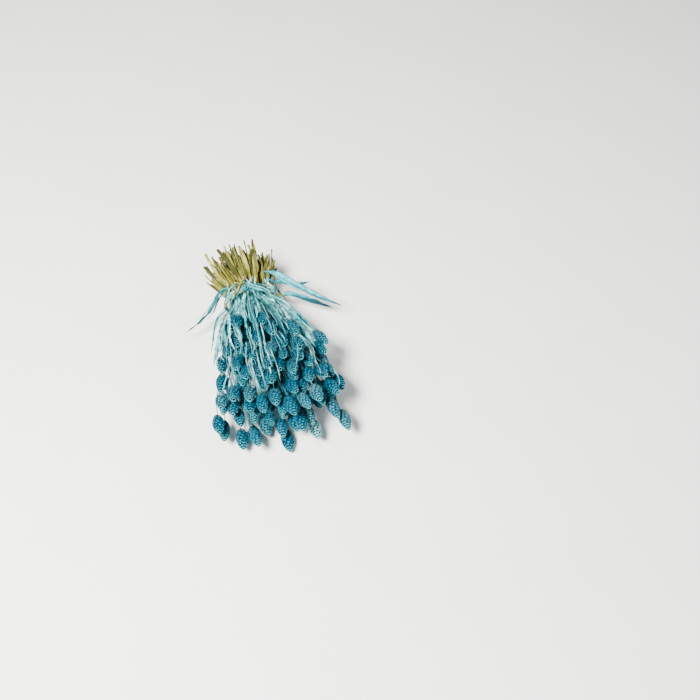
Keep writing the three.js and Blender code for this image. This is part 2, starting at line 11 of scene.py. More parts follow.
import bpy
import numpy as np
from mathutils import Euler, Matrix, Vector


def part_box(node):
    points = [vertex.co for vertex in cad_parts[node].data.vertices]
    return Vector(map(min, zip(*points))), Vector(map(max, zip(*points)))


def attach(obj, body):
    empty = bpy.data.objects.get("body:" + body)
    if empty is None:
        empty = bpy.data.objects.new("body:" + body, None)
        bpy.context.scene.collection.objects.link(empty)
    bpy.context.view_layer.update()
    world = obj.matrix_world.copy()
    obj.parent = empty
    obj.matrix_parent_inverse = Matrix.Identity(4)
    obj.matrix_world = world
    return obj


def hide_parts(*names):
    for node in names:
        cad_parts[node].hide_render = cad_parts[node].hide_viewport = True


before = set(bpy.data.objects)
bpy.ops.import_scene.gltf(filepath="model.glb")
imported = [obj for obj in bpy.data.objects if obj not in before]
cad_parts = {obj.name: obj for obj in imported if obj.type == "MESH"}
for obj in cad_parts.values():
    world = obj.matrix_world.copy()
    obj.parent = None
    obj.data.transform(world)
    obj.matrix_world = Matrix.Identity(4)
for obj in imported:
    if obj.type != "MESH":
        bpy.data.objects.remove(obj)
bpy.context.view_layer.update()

bl_info = {
    "name": "Dried phalaris bunch",
    "version": (1, 0, 0),
    "blender": (4, 5, 0),
    "location": "View3D > Sidebar > Phalaris",
    "description": "Builds a tied bunch of dyed, dried canary grass over its plain solids",
    "category": "Object",
}

MM = 0.001

# The neck: sprays of four stems, packed as square cells in rows from the floor side up. Lengths of the
# layout are in millimetres. Places in the bunch are given in a unit section, u across and v up.
CELL_ROWS = (5, 7, 7, 6, 3)
CELL_CORNERS = ((-1, -1), (1, -1), (1, 1), (-1, 1))
STEM_PITCH = 4.8
CELL = 2 * STEM_PITCH
NECK_HALF_X = 33.6
NECK_HALF_Z = 24
NECK_FLOOR = 1.5
ARCH = 1.1

# How the bunch opens: towards the heads it flares like a bell, towards the cut ends like a broom.
FLARE_REACH = 135
FLARE_X = 1.9
FLARE_Z = 1.15
HEADS_FLOOR = 1
DOME_START = 190
DOME_REACH = 95
DOME_DROP = 0.34
BUTT_LENGTH = 66
BUTT_ROUND = 0.2
BUTT_OPEN_X = 0.85
BUTT_OPEN_Z = 0.5
BUTT_FLOOR = 9
BUTT_CURVE = 1.2
BUTT_LEAN = 10

# Where the heads are: half of them cover the top, then come the front and the floor side.
FIRST_HEAD = 84
FRONT_HEADS = 233
LAST_HEAD = 287
TOP_SHARE = 0.5
FRONT_SHARE = 0.86
TOP_CROWDING = 1.6
FLOOR_FIRST_HEAD = 85
EDGE_EARLY = 0.18
EDGE_MIDDLE = 0.6
FLOOR_CROWDING = 1.3
TIP_JITTER = 12
FRONT_DEPTH = 15
TIP_REACH = 316
BEND_REACH = 75
STEM_RADIUS_CUT = 1.9
STEM_RADIUS_NECK = 1.6
STEM_RADIUS_HEAD = 1.0
HEAD_LENGTH = 33
HEAD_RADIUS = 9
LEAF_THICKNESS = 0.8
POINTED_END = 0.12
BLUNT_END = 0.75
ROOT_WIDTH = 0.35
ROOT_WIDENING = 2.6
END_NARROWING = 3

# How stems and leaves differ from each other. A pair is the range that a value is drawn from.
DEPTH_JITTER = (-0.14, 0.14)
STEM_DRIFT_X = (-7, 7)
STEM_DRIFT_Z = (-5, 5)
STEM_BEND_X = (-12, 12)
STEM_BEND_Z = (-4, 6)
CUT_JITTER = (-10, 10)
HEAD_LENGTHS = (0.86, 1.1)
HEAD_RADII = (0.86, 1.06)
LEAF_JITTER = (0.2, 0.8)
LEAF_REACH_X = 1.13
LEAF_REACH_Z = 1.16
LEAF_STARTS = (24, 40)
LEAF_LENGTHS = (60, 125)
DRY_STARTS = (-22, -18)
DRY_LENGTHS = (36, 50)
LEAF_DRIFT_X = (-4, 4)
LEAF_DRIFT_Z = (-2, 2)
LEAF_HALF_WIDTHS = (2.8, 4)
LEAF_TURNS = (-0.5, 0.5)
LEAF_TWISTS = (-0.012, 0.012)

# The packing: every strand is a disc in each of many parallel planes.
LAYOUT_SEED = 20285
PLANE = 8
CUT_PLANE = -11
PASSES = 260
LAST_PASSES = 150
PULL = 0.05
PUSH = 0.8
SMOOTH = 0.8
LAST_SMOOTH = 0.5
CLEARANCE = 2
PRESSED = 0.9
HOST_PULL = 0.5
HOST_REACH = 1.5
ROOT_STEP = 5

PLANES = math.ceil(TIP_REACH / PLANE) - CUT_PLANE + 1
PLANE_PLACES = (np.arange(PLANES) + CUT_PLANE) * float(PLANE)


class Draws:
    """Even numbers from 0 to 1, always the same ones: each is the last one times a constant plus
    another, modulo 2 to the 32nd."""

    def __init__(self, seed):
        self.state = seed

    def draw(self):
        """The next number."""
        self.state = (self.state * 1664525 + 1013904223) % 4294967296
        return self.state / 4294967296

    def between(self, low, high):
        """The next number, spread from low to high."""
        return low + (high - low) * self.draw()


def section(t):
    """Middle, half width, half height and lowest height of the bunch at distances t from the tie.
    Towards the cut ends they grow with a power of the distance, towards the heads as one minus a
    falling exponential, and the dome over the last heads falls off as a parabola."""
    far = (np.maximum(0, -t) / BUTT_LENGTH) ** BUTT_CURVE
    flare = 1 - np.exp(-np.maximum(0, t) / FLARE_REACH)
    dome = 1 - DOME_DROP * np.maximum(0, (t - DOME_START) / DOME_REACH) ** 2
    half_x = NECK_HALF_X * (1 + BUTT_OPEN_X * far + FLARE_X * flare)
    half_z = NECK_HALF_Z * (1 + BUTT_OPEN_Z * far + FLARE_Z * flare) * dome
    floor = NECK_FLOOR + (BUTT_FLOOR - NECK_FLOOR) * far + (HEADS_FLOOR - NECK_FLOOR) * flare
    return -BUTT_LEAN * far, half_x, half_z, floor


def arch_top(u):
    """The top of the unit section above u: a circle's arch."""
    return math.sqrt(ARCH - min(1, u * u))


def ended_before(t):
    """The share of the stems that have ended in a head on the top before distance t, a power curve."""
    along = np.clip((t - FIRST_HEAD) / (FRONT_HEADS - FIRST_HEAD), 0, 1)
    return TOP_SHARE * along**TOP_CROWDING


def tip_of(rank, draws):
    """How far from the tie the stem of a given depth rank ends: the top ones by the inverse of the
    power curve, the others drawn in the front or back along the floor side."""
    if rank < TOP_SHARE:
        along = (rank / TOP_SHARE) ** (1 / TOP_CROWDING)
        return FIRST_HEAD + (FRONT_HEADS - FIRST_HEAD) * along + draws.between(-TIP_JITTER, TIP_JITTER)
    if rank < FRONT_SHARE:
        return draws.between(FRONT_HEADS - FRONT_DEPTH, LAST_HEAD)
    return LAST_HEAD - (LAST_HEAD - FLOOR_FIRST_HEAD) * draws.draw() ** FLOOR_CROWDING


def wanted(strand, t):
    """Where a strand wants to be at distances t: its place in the unit section times the section's
    size, risen by the share of stems that have ended above it, with a drift and a bend under the head
    that grows as a square."""
    middle, half_x, half_z, floor = section(t)
    far = np.clip((np.abs(t) - 2 * PLANE) / FLARE_REACH, 0, 1)
    ended = ended_before(t)
    top = arch_top(strand.u)
    risen = strand.v + (2 * top * ended * (1 - strand.rank)) / (1 - ended)
    v = np.minimum(risen, max(strand.v, top))
    bend = np.maximum(0, 1 - (strand.tip - t) / BEND_REACH) ** 2
    x = middle + half_x * strand.u + strand.drift_x * far + strand.bend_x * bend
    z = floor + half_z * (1 + v) + strand.drift_z * far + strand.bend_z * bend
    return x, z


def egg(f):
    """The head's outline is an egg: a sine of a power of the share of its length, itself to a power,
    widest at two fifths and blunt at the stem end."""
    return np.sin(np.pi * np.clip(f, 0, 1) ** 0.75) ** 0.7


def stem_radius(t):
    """A stem thins in a straight line from its cut end to the neck, and from there to its head."""
    at_cut = (STEM_RADIUS_CUT - STEM_RADIUS_NECK) * np.clip(-t / BUTT_LENGTH, 0, 1)
    at_head = (STEM_RADIUS_HEAD - STEM_RADIUS_NECK) * np.clip(t / TIP_REACH, 0, 1)
    return STEM_RADIUS_NECK + at_cut + at_head


def blade_half_width(half_width, f, end=POINTED_END):
    """A blade is narrow at its root, full a quarter of the way along and narrower again at its end,
    by two clipped straight lines."""
    root = np.minimum(1, ROOT_WIDTH + ROOT_WIDENING * f)
    return half_width * root * np.minimum(1, end + END_NARROWING * (1 - f))


def make_stems(draws):
    """The stems in the order of their cells, four to a cell, with the shallowest ending first. The
    last draw for each turns the head of its solid, so it keeps its place among the draws."""
    stems = []
    for row, count in enumerate(CELL_ROWS):
        for column in range(count):
            cell_x = (column - (count - 1) / 2) * CELL
            cell_z = NECK_FLOOR + (row + 0.5) * CELL
            for i, k in CELL_CORNERS:
                x = cell_x + i * STEM_PITCH / 2
                z = cell_z + k * STEM_PITCH / 2
                u = x / NECK_HALF_X
                v = (z - NECK_FLOOR) / NECK_HALF_Z - 1
                top = arch_top(u)
                depth = (top - v) / (2 * top) - EDGE_EARLY * u * (u - EDGE_MIDDLE)
                stem = SimpleNamespace(kind="stem", u=u, v=v, neck_x=x, neck_z=z, hosts=0)
                stem.depth = depth + draws.between(*DEPTH_JITTER)
                stem.drift_x = draws.between(*STEM_DRIFT_X)
                stem.drift_z = draws.between(*STEM_DRIFT_Z)
                stem.bend_x = draws.between(*STEM_BEND_X)
                stem.bend_z = draws.between(*STEM_BEND_Z)
                stem.start = -BUTT_LENGTH * (1 - BUTT_ROUND * u * u) + draws.between(*CUT_JITTER)
                stem.head_length = HEAD_LENGTH * draws.between(*HEAD_LENGTHS)
                stem.head_radius = HEAD_RADIUS * draws.between(*HEAD_RADII)
                draws.draw()
                stems.append(stem)
    for i, stem in enumerate(sorted(stems, key=lambda stem: stem.depth)):
        stem.rank = i / (len(stems) - 1)
        stem.tip = tip_of(stem.rank, draws)
    return stems


# The leaves by groups: name, count, range of angles in half turns, reach, and way along the bunch.
LEAF_GROUPS = (
    ("leaf", 15, 0.02, 0.98, 1, 1),
    ("leaf", 2, 1.02, 1.24, 1, 1),
    ("leaf", 2, 1.76, 1.98, 1, 1),
    ("dry_blade", 5, 0.15, 0.85, 1, -1),
    ("inner_leaf", 12, 0.06, 0.94, 0.8, 1),
)


def make_leaves(draws):
    """The leaves, spread evenly with jitter over each group's range of angles."""
    leaves = []
    for name, count, first, last, reach, way in LEAF_GROUPS:
        for i in range(count):
            angle = math.pi * (first + (last - first) * (i + draws.between(*LEAF_JITTER)) / count)
            start = draws.between(*(LEAF_STARTS if way > 0 else DRY_STARTS))
            length = draws.between(*(LEAF_LENGTHS if way > 0 else DRY_LENGTHS))
            leaf = SimpleNamespace(kind="leaf", name=name, way=way, rank=0, bend_x=0, bend_z=0)
            leaf.u = LEAF_REACH_X * reach * math.cos(angle)
            leaf.v = LEAF_REACH_Z * reach * math.sin(angle)
            leaf.drift_x = draws.between(*LEAF_DRIFT_X)
            leaf.drift_z = draws.between(*LEAF_DRIFT_Z)
            leaf.start = start if way > 0 else start - length
            leaf.tip = start + length if way > 0 else start
            leaf.half_width = draws.between(*LEAF_HALF_WIDTHS)
            leaf.turn = draws.between(*LEAF_TURNS)
            leaf.twist = draws.between(*LEAF_TWISTS)
            leaves.append(leaf)
    return leaves


def disc_radii(strand):
    """A strand's disc radius in every plane, nothing where the strand isn't there. A head counts with
    its widest section within half a step of the plane."""
    t = PLANE_PLACES
    if strand.kind == "leaf":
        f = (t - strand.start) / (strand.tip - strand.start)
        f = f if strand.way > 0 else 1 - f
        end = POINTED_END if strand.way > 0 else BLUNT_END
        radii = blade_half_width(strand.half_width, f, end) + LEAF_THICKNESS / 4
    else:
        foot = strand.tip - strand.head_length
        girths = [egg((t + step - foot) / strand.head_length) for step in (-PLANE / 2, 0, PLANE / 2)]
        radii = np.maximum(stem_radius(t), strand.head_radius * np.max(girths, axis=0))
    return np.where((t < strand.start) | (t > strand.tip), 0, radii)


class Packing:
    """The strands' places in all planes, as arrays of strands by planes."""

    def __init__(self, stems, leaves):
        self.stems = stems
        self.leaves = leaves
        strands = stems + leaves
        self.radius = np.array([disc_radii(s) for s in strands])
        homes = [wanted(s, PLANE_PLACES) for s in strands]
        self.home = np.array(homes).transpose(1, 0, 2)
        self.place = self.home.copy()
        present = self.radius > 0
        for i, s in enumerate(strands):
            s.index = i
            s.first = int(np.argmax(present[i]))
            s.last = PLANES - 1 - int(np.argmax(present[i][::-1]))
        stem_rows = np.arange(len(strands)) < len(stems)
        self.pinned = stem_rows[:, None] & (np.abs(PLANE_PLACES) <= PLANE)[None, :]
        for s in stems:
            self.place[0, s.index, self.pinned[s.index]] = s.neck_x
            self.place[1, s.index, self.pinned[s.index]] = s.neck_z
        planes = np.arange(PLANES)[None, :]
        first = np.array([s.first for s in strands])[:, None]
        last = np.array([s.last for s in strands])[:, None]
        self.free = (planes >= first) & (planes <= last) & ~self.pinned
        self.inner = (planes > first) & (planes < last) & ~self.pinned
        feet = np.array([s.tip - s.head_length for s in stems])[:, None]
        head_first = np.ceil(feet / PLANE) - CUT_PLANE
        head_last = last[: len(stems)]
        self.head = (planes >= head_first) & (planes <= head_last)
        self.head_offset = np.where(self.head, planes - (head_first + head_last) / 2, 0)
        for leaf in leaves:
            self.choose_host(leaf)

    def choose_host(self, leaf):
        """A leaf grows from the outermost stem near it that has none yet on that side of the tie."""
        j = leaf.first if leaf.way > 0 else leaf.last
        middle, _, half_z, floor = section(PLANE_PLACES[j])
        out = self.home[:, leaf.index, j] - (middle, floor + half_z)
        nearest = math.inf
        for s in self.stems:
            if s.hosts == leaf.way or s.tip - s.head_length < PLANE_PLACES[j + 1]:
                continue
            off = self.home[:, s.index, j] - (middle, floor + half_z) - HOST_REACH * out
            far = math.hypot(*off)
            if far < nearest:
                nearest = far
                leaf.host = s
        leaf.host.hosts = leaf.way
        leaf.root_plane = j
        away = self.radius[leaf.host.index, j] + self.radius[leaf.index, j] + CLEARANCE
        leaf.offset = away * out / math.hypot(*out)

    def relax(self):
        """Pushes the discs of each plane apart, keeps each strand smooth and near its place."""
        for turn in range(PASSES):
            late = turn >= PASSES - LAST_PASSES
            self.smooth_and_pull(LAST_SMOOTH if late else SMOOTH, 0 if late else PULL)
            for j in range(PLANES):
                self.separate(j)
            self.straighten_heads()
            for leaf in self.leaves:
                self.draw_to_host(leaf)

    def smooth_and_pull(self, smooth, pull):
        """Moves each point towards the middle of its neighbours and towards its own place."""
        before = self.place
        middle = before.copy()
        middle[:, :, 1:-1] = (before[:, :, :-2] + before[:, :, 2:]) / 2
        step = np.where(self.inner, smooth * (middle - before), 0)
        self.place = before + step + np.where(self.free, pull * (self.home - before), 0)

    def separate(self, j):
        """Moves the discs of one plane apart along the line between their centres, by a share of what
        they lack, the wider ones less, and keeps them above the floor."""
        rows = np.flatnonzero((self.radius[:, j] > 0) & ~self.pinned[:, j])
        radius = self.radius[rows, j]
        x, z = self.place[:, rows, j]
        dx = x[None, :] - x[:, None]
        dz = z[None, :] - z[:, None]
        total = radius[None, :] + radius[:, None]
        far = np.sqrt(dx * dx + dz * dz)
        lack = total + CLEARANCE - far
        close = (lack > 0) & (far > 0)
        push = np.where(close, PUSH * lack / np.where(far > 0, far, 1), 0) * radius[None, :] / total
        self.place[0, rows, j] = x - (push * dx).sum(axis=1)
        self.place[1, rows, j] = np.maximum(z - (push * dz).sum(axis=1), radius - PRESSED)

    def straighten_heads(self):
        """A head is stiff: its planes keep to the straight line that fits them best."""
        n = len(self.stems)
        count = self.head.sum(axis=1)
        spread = (self.head_offset**2).sum(axis=1)
        for axis in (0, 1):
            values = self.place[axis, :n]
            mean = np.where(self.head, values, 0).sum(axis=1) / count
            slope = (self.head_offset * values).sum(axis=1) / spread
            line = mean[:, None] + slope[:, None] * self.head_offset
            self.place[axis, :n] = np.where(self.head, line, values)

    def draw_to_host(self, leaf):
        """The root end of a leaf stays beside its host."""
        for step in (0, 1):
            j = leaf.root_plane + step * leaf.way
            goal = self.place[:, leaf.host.index, j] + leaf.offset
            self.place[:, leaf.index, j] += HOST_PULL / (1 + step) * (goal - self.place[:, leaf.index, j])

    def at(self, strand, t):
        """The strand's axis at distances t, straight between its planes and on past its ends."""
        t = np.asarray(t, float)
        j = t / PLANE - CUT_PLANE
        a = np.clip(np.floor(j), strand.first, strand.last - 1).astype(int)
        f = j - a
        low = self.place[:, strand.index, a]
        high = self.place[:, strand.index, a + 1]
        x, z = low + f * (high - low)
        return np.stack([x, -t, z], axis=-1)


# Heads: scales on an egg, bristles between them and a core painted dark as the shade inside. Lengths are in
# millimetres, places in shares of a length. The scales are the less even the nearer they are to the stem.
SCALE_FIRST = 0.17
SCALE_LAST = 0.96
ROW_TWIST = 0.13
SCALE_LEAN = 0.38
LEAN_FALL = 1.5
SCALE_REACH = 0.93
SCALE_STATIONS = (0, 0.2, 0.5, 0.77, 0.94, 1)
SCALE_ACROSS = (-1, -0.55, 0, 0.55, 1, 0)
SCALE_ROOF = (0, 0.62, 1, 0.62, 0, -0.3)
SCALE_BELLY = 0.85
SCALE_BLUNTNESS = 0.7
KEEL_BLUNTNESS = 0.8
GIRTH_POWER = 0.8
LEAST_GIRTH_AT = 0.08
SCALE_CURL = 0.09
UNEVEN_AT_TIP = 0.3
UNEVEN_MORE = 1.2
PLACE_SPREAD = 0.008
ANGLE_SPREAD = 0.07
LEAN_SPREAD = 0.05
SIZE_SPREAD = 0.05
TINT_SPREAD = 0.18
BRISTLES = 90
BRISTLE_FIRST = 0.06
BRISTLE_RUN = 0.8
BRISTLE_CROWDING = 1.6
BRISTLE_ROOT = 0.84
BRISTLE_BELLY = 0.4
BRISTLE_LENGTH = (2.2, 4.2)
BRISTLE_THICKNESS = 0.17
BRISTLE_LEAN = 0.6
BRISTLE_SPREAD = 0.2
# A bristle's rise at its root, middle and end: the low rise at its root gives it part of the painted shade
# of the gaps.
BRISTLE_RISES = (0.5, 0.8, 0.9)
BRISTLE_EDGE = 0.25
CORE_SHARE = 0.66
CORE_LENGTH = 0.9
CORE_ENDS = (0.03, 0.97)
CORE_STATIONS = 9
CORE_SIDES = 10
CORE_TINT = 0.2
FADE_SPREAD = 0.15

# Stems and their sheaths. The inner ones are painted darker and their sheaths less pale, as shade deep in
# the bunch.
STEM_SIDES = 7
STEM_STEP = 6
STEM_SHARE = 0.78
STEM_IN_HEAD = 0.12
CUT_THINNING = 0.25
CUT_REACH = 50
CUT_SLANT = 0.7
CUT_KNOT = (-70, -30)
UPPER_KNOT = (0.45, 0.75)
KNOT_STEPS = np.array([-3, -1.5, 0, 1.5, 3])
KNOT_LENGTH = 1.7
KNOT_SWELL = 0.5
HOLLOW_DEPTH = 6
HOLLOW_SHARE = 0.62
WANDER = 0.6
WANDER_WAVE = 95
WANDER_REACH = 40
NECK_STIFF = 12
NECK_SHEATH = 2.12
SHEATH_FIRST = (16, 60)
SHEATH_LAST = (45, 150)
SHEATH_BELOW_HEAD = 14
SHEATH_GAP = 0.5
SHEATH_WALL = 0.25
SHEATH_NARROWING = 36
MOUTH_FLARE = 0.45
MOUTH_LENGTH = 4
MOUTH_DEPTH = 5
MOUTH_SHARE = 0.9
MOUTH_SLANT = 2.0
INNER_SHADE = 0.9
INNER_SHEATH_SHADE = 0.95
SHEATH_DYE = 0.7

# Blades: ripples run across them, and their two skins meet at thin edges.
BLADE_STEP = 2.4
BLADE_POINTS = 9
BLADE_THICKNESS = 0.34
EDGE_THINNING = 0.7
LEAST_ROLL = 0.05
FULL_HALF_WIDTH = 2.6
WRINKLE = 0.35
WRINKLE_WAVES = (7, 13)
WRINKLE_SHEAR = 1.4
WRINKLE_MIDDLE = 0.25
RUFFLE = 0.8
RUFFLE_WAVE = 1.7
RUFFLE_SHEAR = 2.2
KEEL_FOLD = 0.25
KEEL_WIDTH = 0.18
ROLL_WAVES = (0.6, 1.6)
PALENESS = 1.5
PHASES = (0, 6)
SPAN_STEPS = 30

# The leaves along the bunch and the loose ones.
ROOT_CLEAR = 0.7
INNER_ROOT_CLEAR = 0.9
ROOT_STEM_SHARE = 0.8
ROOT_RUN = 14
ROOT_SHARE = 0.08
ROOT_HALF_WIDTH = 1.1
ROOT_SWELL = 0.2
LEAF_ROLLS = (0.35, 1.25)
LOOSE_ROLLS = (0.15, 0.6)
LOOSE_ROOT_GAP = 0.3
LOOSE_SHARE = 0.85
LOOSE_TURN = 0.08
LEAF_STEP = 20

# The loose leaves: half width, how dark they are dyed, and places, the first beside the stem that each
# grows from.
LOOSE_LEAVES = {
    "loose_leaf_right_1": (
        5.4, 0.8, ((24, 31, 58), (44, 2, 68), (67, -18, 62), (98, -37, 50), (132, -53, 38))
    ),
    "loose_leaf_right_2": (4.2, 0.88, ((34, 14, 46), (47, -2, 55), (66, -12, 56), (90, -10, 55))),
    "loose_leaf_right_3": (4.8, 1, ((40, -11, 36), (57, -16, 41), (82, -28, 36), (120, -44, 26))),
    "loose_leaf_left_1": (
        3.4, 1, ((-30, 14, 47), (-51, -3, 51), (-67, -27, 43), (-88, -42, 34), (-115, -53, 24))
    ),
    "loose_leaf_left_2": (
        2.0, 0.8, ((-44, -18, 31), (-59, -36, 32), (-68, -56, 28), (-74, -76, 22), (-80, -92, 14))
    ),
}

# Narrower leaves run beside each loose leaf from its root, one for each so many millimetres of its half
# width. They are shorter and stray from it along x, y and z.
COMPANION_SHARE = 1.7
COMPANION_LENGTHS = (0.6, 0.95)
COMPANION_WIDTHS = (0.4, 0.65)
COMPANION_TINTS = (0.35, 1)
STRAY = (4.5, 4.5, 2.25)
STRAY_RISE = 0.7

# What dresses each stem: a withered blade at the sheath's mouth, and among the cut ends torn strips of
# sheath, loose straws and flakes. Pairs are ranges that values are drawn from. First and last places
# are in millimetres from the tie or in shares of the stem's cut side. A blade has so many points across
# each skin, and its half width is a least one and more of it by a power, the crowding, of a draw.
RAG = SimpleNamespace(
    share=0.45, length=(25, 75), below_head=10, least=20, root=5, points=8, gap=1.5, drift=(1.5, 7),
    curve=1.6, below=0.4, turn=1, twist=3, half_width=1, wider=1.1, crowding=1, rolls=(0.5, 1.4),
    dry=0, tint=1, across=5,
)
HUSK = SimpleNamespace(
    count=2, first=(8, 20), last=(0.5, 1), points=8, gap=1.8, end_gap=(2.5, 8), sweep=1.2,
    half_width=(1.3, 2.7), root=0.5, widening=2, end=0.7, roll=1.3, opening=(0.4, 1.1), turn=1.6,
    across=7,
)
STUB = SimpleNamespace(
    count=2, first=(7, 14), last=(0.6, 1), rings=8, sides=7, depth=5, gap=2.4, end_gap=(3, 12), sweep=2,
    girth=(1.1, 2.0), narrow=0.75, wall=(0.7, 0.6), flatness=(0.35, 0.75), slant=(0.5, 2.5), pale=0.6,
)
FLAKE = SimpleNamespace(
    share=0.8, first=(0.25, 0.7), length=(14, 28), points=8, gap=1.8, slope=(0.2, 0.8), bend=(-0.25, 0.35),
    half_width=(1.1, 2.3), root=0.5, widening=3, end=0.75, turn=1.2, twist=1, rolls=(0.3, 1.1),
    across=5,
)
STRIP_NARROWING = 4
WISP_STEP = 3.5

# The skin of the bunch: how far it reaches from its middle, by plane and by direction.
SKIN_DIRECTIONS = 96
SKIN_MARGIN = 1.0
SKIN_WIDENINGS = 3
SKIN_SMOOTHINGS = 3

# What lies along the skin: leaves that hang from the neck, threads between the heads, and strips that
# cross the neck. Places along the bunch and lifts over the skin are in millimetres, angles in radians.
SKIRT = SimpleNamespace(
    count=85, spread=0.75, furthest=1.7, first=(3, 34), length=32, more=80, shortness=1.6, side_loss=0.25,
    swing=0.15, sway=0.02, wave=70, on_top=0.12, top_depth=(-1, 1), depth=(-13, -6), top_rise=(0, 7),
    rise=(-3, 3), start=1.5, ease=2.5, tuck=2, turn=1, twist=1.6, half_width=0.6, wider=2.2, crowding=2.4,
    rolls=(0.3, 1.3), dry=0, tint=1, across=5,
)
THREAD = SimpleNamespace(
    count=75, spread=0.8, furthest=1.8, first=(30, 175), length=(35, 80), swing=0.07, sway=0.006, wave=80,
    lift=(-14, -3), rise=0.6, rise_wave=90, tuck=3, ease=4, turn=1, twist=1, half_width=0.5, wider=0.5,
    crowding=1, rolls=(0.6, 1.4), dry=0, tint=0.5, across=3,
)
COLLAR = SimpleNamespace(
    count=66, below=0.2, first=(-17, 4), length=(14, 40), sweep=1.1, girth=34, step=2.6, least=5, lag=1.3,
    lift=(0.2, 2.5), arch=(0, 4), end_lift=(0, 3), turn=0.8, twist=1.5, half_width=0.7, wider=1.9,
    crowding=1.6, rolls=(0.3, 1.2), dry=0.38, tint=1, across=7,
)

# The tie: a wide strand and a thin one, each with its turns, its beginning in turns, the pitch and the
# lift of its windings in millimetres, and how dark it is dyed.
TIE_STEPS = 150
NECK_GAP = 0.36
TIE_REACH = (STEM_PITCH - NECK_GAP) / 2 + NECK_GAP
TIE_THICKNESS = 0.6
TIE_SIDES = 10
TIE_DIRECTIONS = 720
TIE_LOOSENESS = 0.25
TIE_WANDER = 0.5
LOOSE_WAVE = 0.37
WANDER_TURNS = 0.9
TAIL_LIFT = 4
TAIL_STEPS = 9
TAPER_STEPS = 8
TAPER_START = 0.3
WIDE_STRAND = (4.2, 0.12, 1.9, 0.35, 0.35)
THIN_STRAND = (1.4, 0.3, 5.0, 1.0, 1.0)

# The heads whose dye has faded, by the x and the distance from the tie that their middles are near.
FADED_HEADS = ((47, 262),)
FADED_REACH = 12

# The noise of the finishes, in cycles to the metre along each axis. The dye ends near the tie, between
# two places along the bunch in millimetres, and the mottling shifts them by a share of DYE_SHIFT.
GRAIN = (900, 900, 900)
FIBRES = (900, 40, 900)
STEM_MOTTLE = (60, 25, 60)
BLADE_MOTTLE = (110, 60, 110)
FLOOR_CLOUDS = (6, 6, 6)
DYE_END = (-16, 14)
DYE_SHIFT = 60

# How the finishes lay their colours over each other. A pair holds the two values between which a colour
# fades in, a single number how much of it is laid on. The colour of the gaps, a painted shade at the base
# of each scale where it lies under the next, gives way to the scale's between a first and a last rise,
# which both grow from the foot of a head to its tip. The pale margins and ends of the scales are partly
# their own pale edges and partly painted highlight, laid on only towards the head's tip.
SCALE_FADES = SimpleNamespace(
    root=(0.15, 0.55), faded=0.9, shade_first=(0.1, 0.62), shade_last=(0.64, 0.88), nerve=(0.2, 0.9),
    nerve_rise=(1, 0.7), nerve_depth=0.45, margin=(0.62, 0.95), margin_and_highlight_rise=(0.71, 0.89), end=(0.88, 0.98),
    pale_tint=(0.05, 0.55), pale_place=(0.35, 0.85), tip=(0.7, 1), grain=(0.4, 0.8), grain_depth=0.3,
)
STRAW_FADES = SimpleNamespace(
    olive=(0.2, 0.8), husk=(0.35, 0.7), sheath=0.6, fibre=(0.4, 0.75), fibre_depth=0.35,
)
BLADE_FADES = SimpleNamespace(
    leaf=(0.1, 0.5), dark=(0.5, 0.9), patch=(0.4, 0.66), patch_depth=0.65, tip=(0.35, 0.8),
    tip_tint=(0.85, 1), olive=(0.2, 0.8), husk=(0.4, 0.7), husk_tint=(0.7, 0.2), vein=(0.3, 1),
    vein_depth=0.22,
)
CLOUD_FADE = (0.3, 0.7)
CLOUD_DEPTH = 0.12

# The picture that the camera matches: its side in pixels, and where the middle of the bunch stands.
PICTURE = 700
SENSOR = 36
VIEW_AZIMUTH = -11
VIEW_ELEVATION = 50
VIEW_FOCAL = 1000
VIEW_POINT = (0, 0, 0.05)
VIEW_AT = (270, 337)

# The soft lights, each with its place, side and power in metres and watts, and its colour.
LIGHTS = {
    "key": ((-1.0, -0.7, 1.7), 0.6, 225, (1, 0.98, 0.95)),
    "fill": ((1.5, -0.6, 1.0), 1.6, 14, (0.93, 0.97, 1)),
    "back": ((0.2, 1.6, 1.3), 1.2, 9, (1, 1, 1)),
}
SKY_COLOR = (0.86, 0.9, 0.94, 1)
SKY_STRENGTH = 0.38

# The marks that the finishes of heads, stems and blades read from their points, in columns.
HEAD_MARKS = ("rise", "edge", "tint", "fade", "place")
STEM_MARKS = ("along", "tint", "pale", "inside")
BLADE_MARKS = ("along", "across", "tint", "dry")
SHAPE_SEED = 7


# Surfaces. A point is a row of a table: x, y, z in millimetres, and then its marks, which are the
# numbers that its material reads.


def carried(rings, poles=None):
    """A closed surface through rings of points, given as stations by points round by columns. Each
    four-cornered patch between neighbouring rings is cut in two, and a fan closes each end from a
    pole, which is the middle of the end ring if none is given."""
    stations, around = rings.shape[:2]
    i = np.arange(stations - 1)[:, None] * around
    k = np.arange(around)
    next_k = (k + 1) % around
    corners = [i + k, i + next_k, i + around + next_k, i + around + k]
    patches = [np.stack([corners[0], corners[m], corners[m + 1]], axis=-1) for m in (1, 2)]
    triangles = np.concatenate([p.reshape(-1, 3) for p in patches])
    points = rings.reshape(-1, rings.shape[2])
    if poles is None:
        poles = rings[[0, -1]].mean(axis=1)
    pole = len(points)
    last = (stations - 1) * around
    first_fan = np.stack([np.full(around, pole), next_k, k], axis=-1)
    last_fan = np.stack([np.full(around, pole + 1), last + k, last + next_k], axis=-1)
    return outward(np.concatenate([points, poles]), np.concatenate([triangles, first_fan, last_fan]))


def outward(points, triangles):
    """Turns all the triangles over if the volume that they enclose, the sum of the corner
    determinants, comes out negative."""
    a, b, c = (points[triangles[:, m], :3] for m in range(3))
    volume = np.einsum("ij,ij->i", a, np.cross(b, c)).sum()
    return points, triangles if volume > 0 else triangles[:, ::-1]


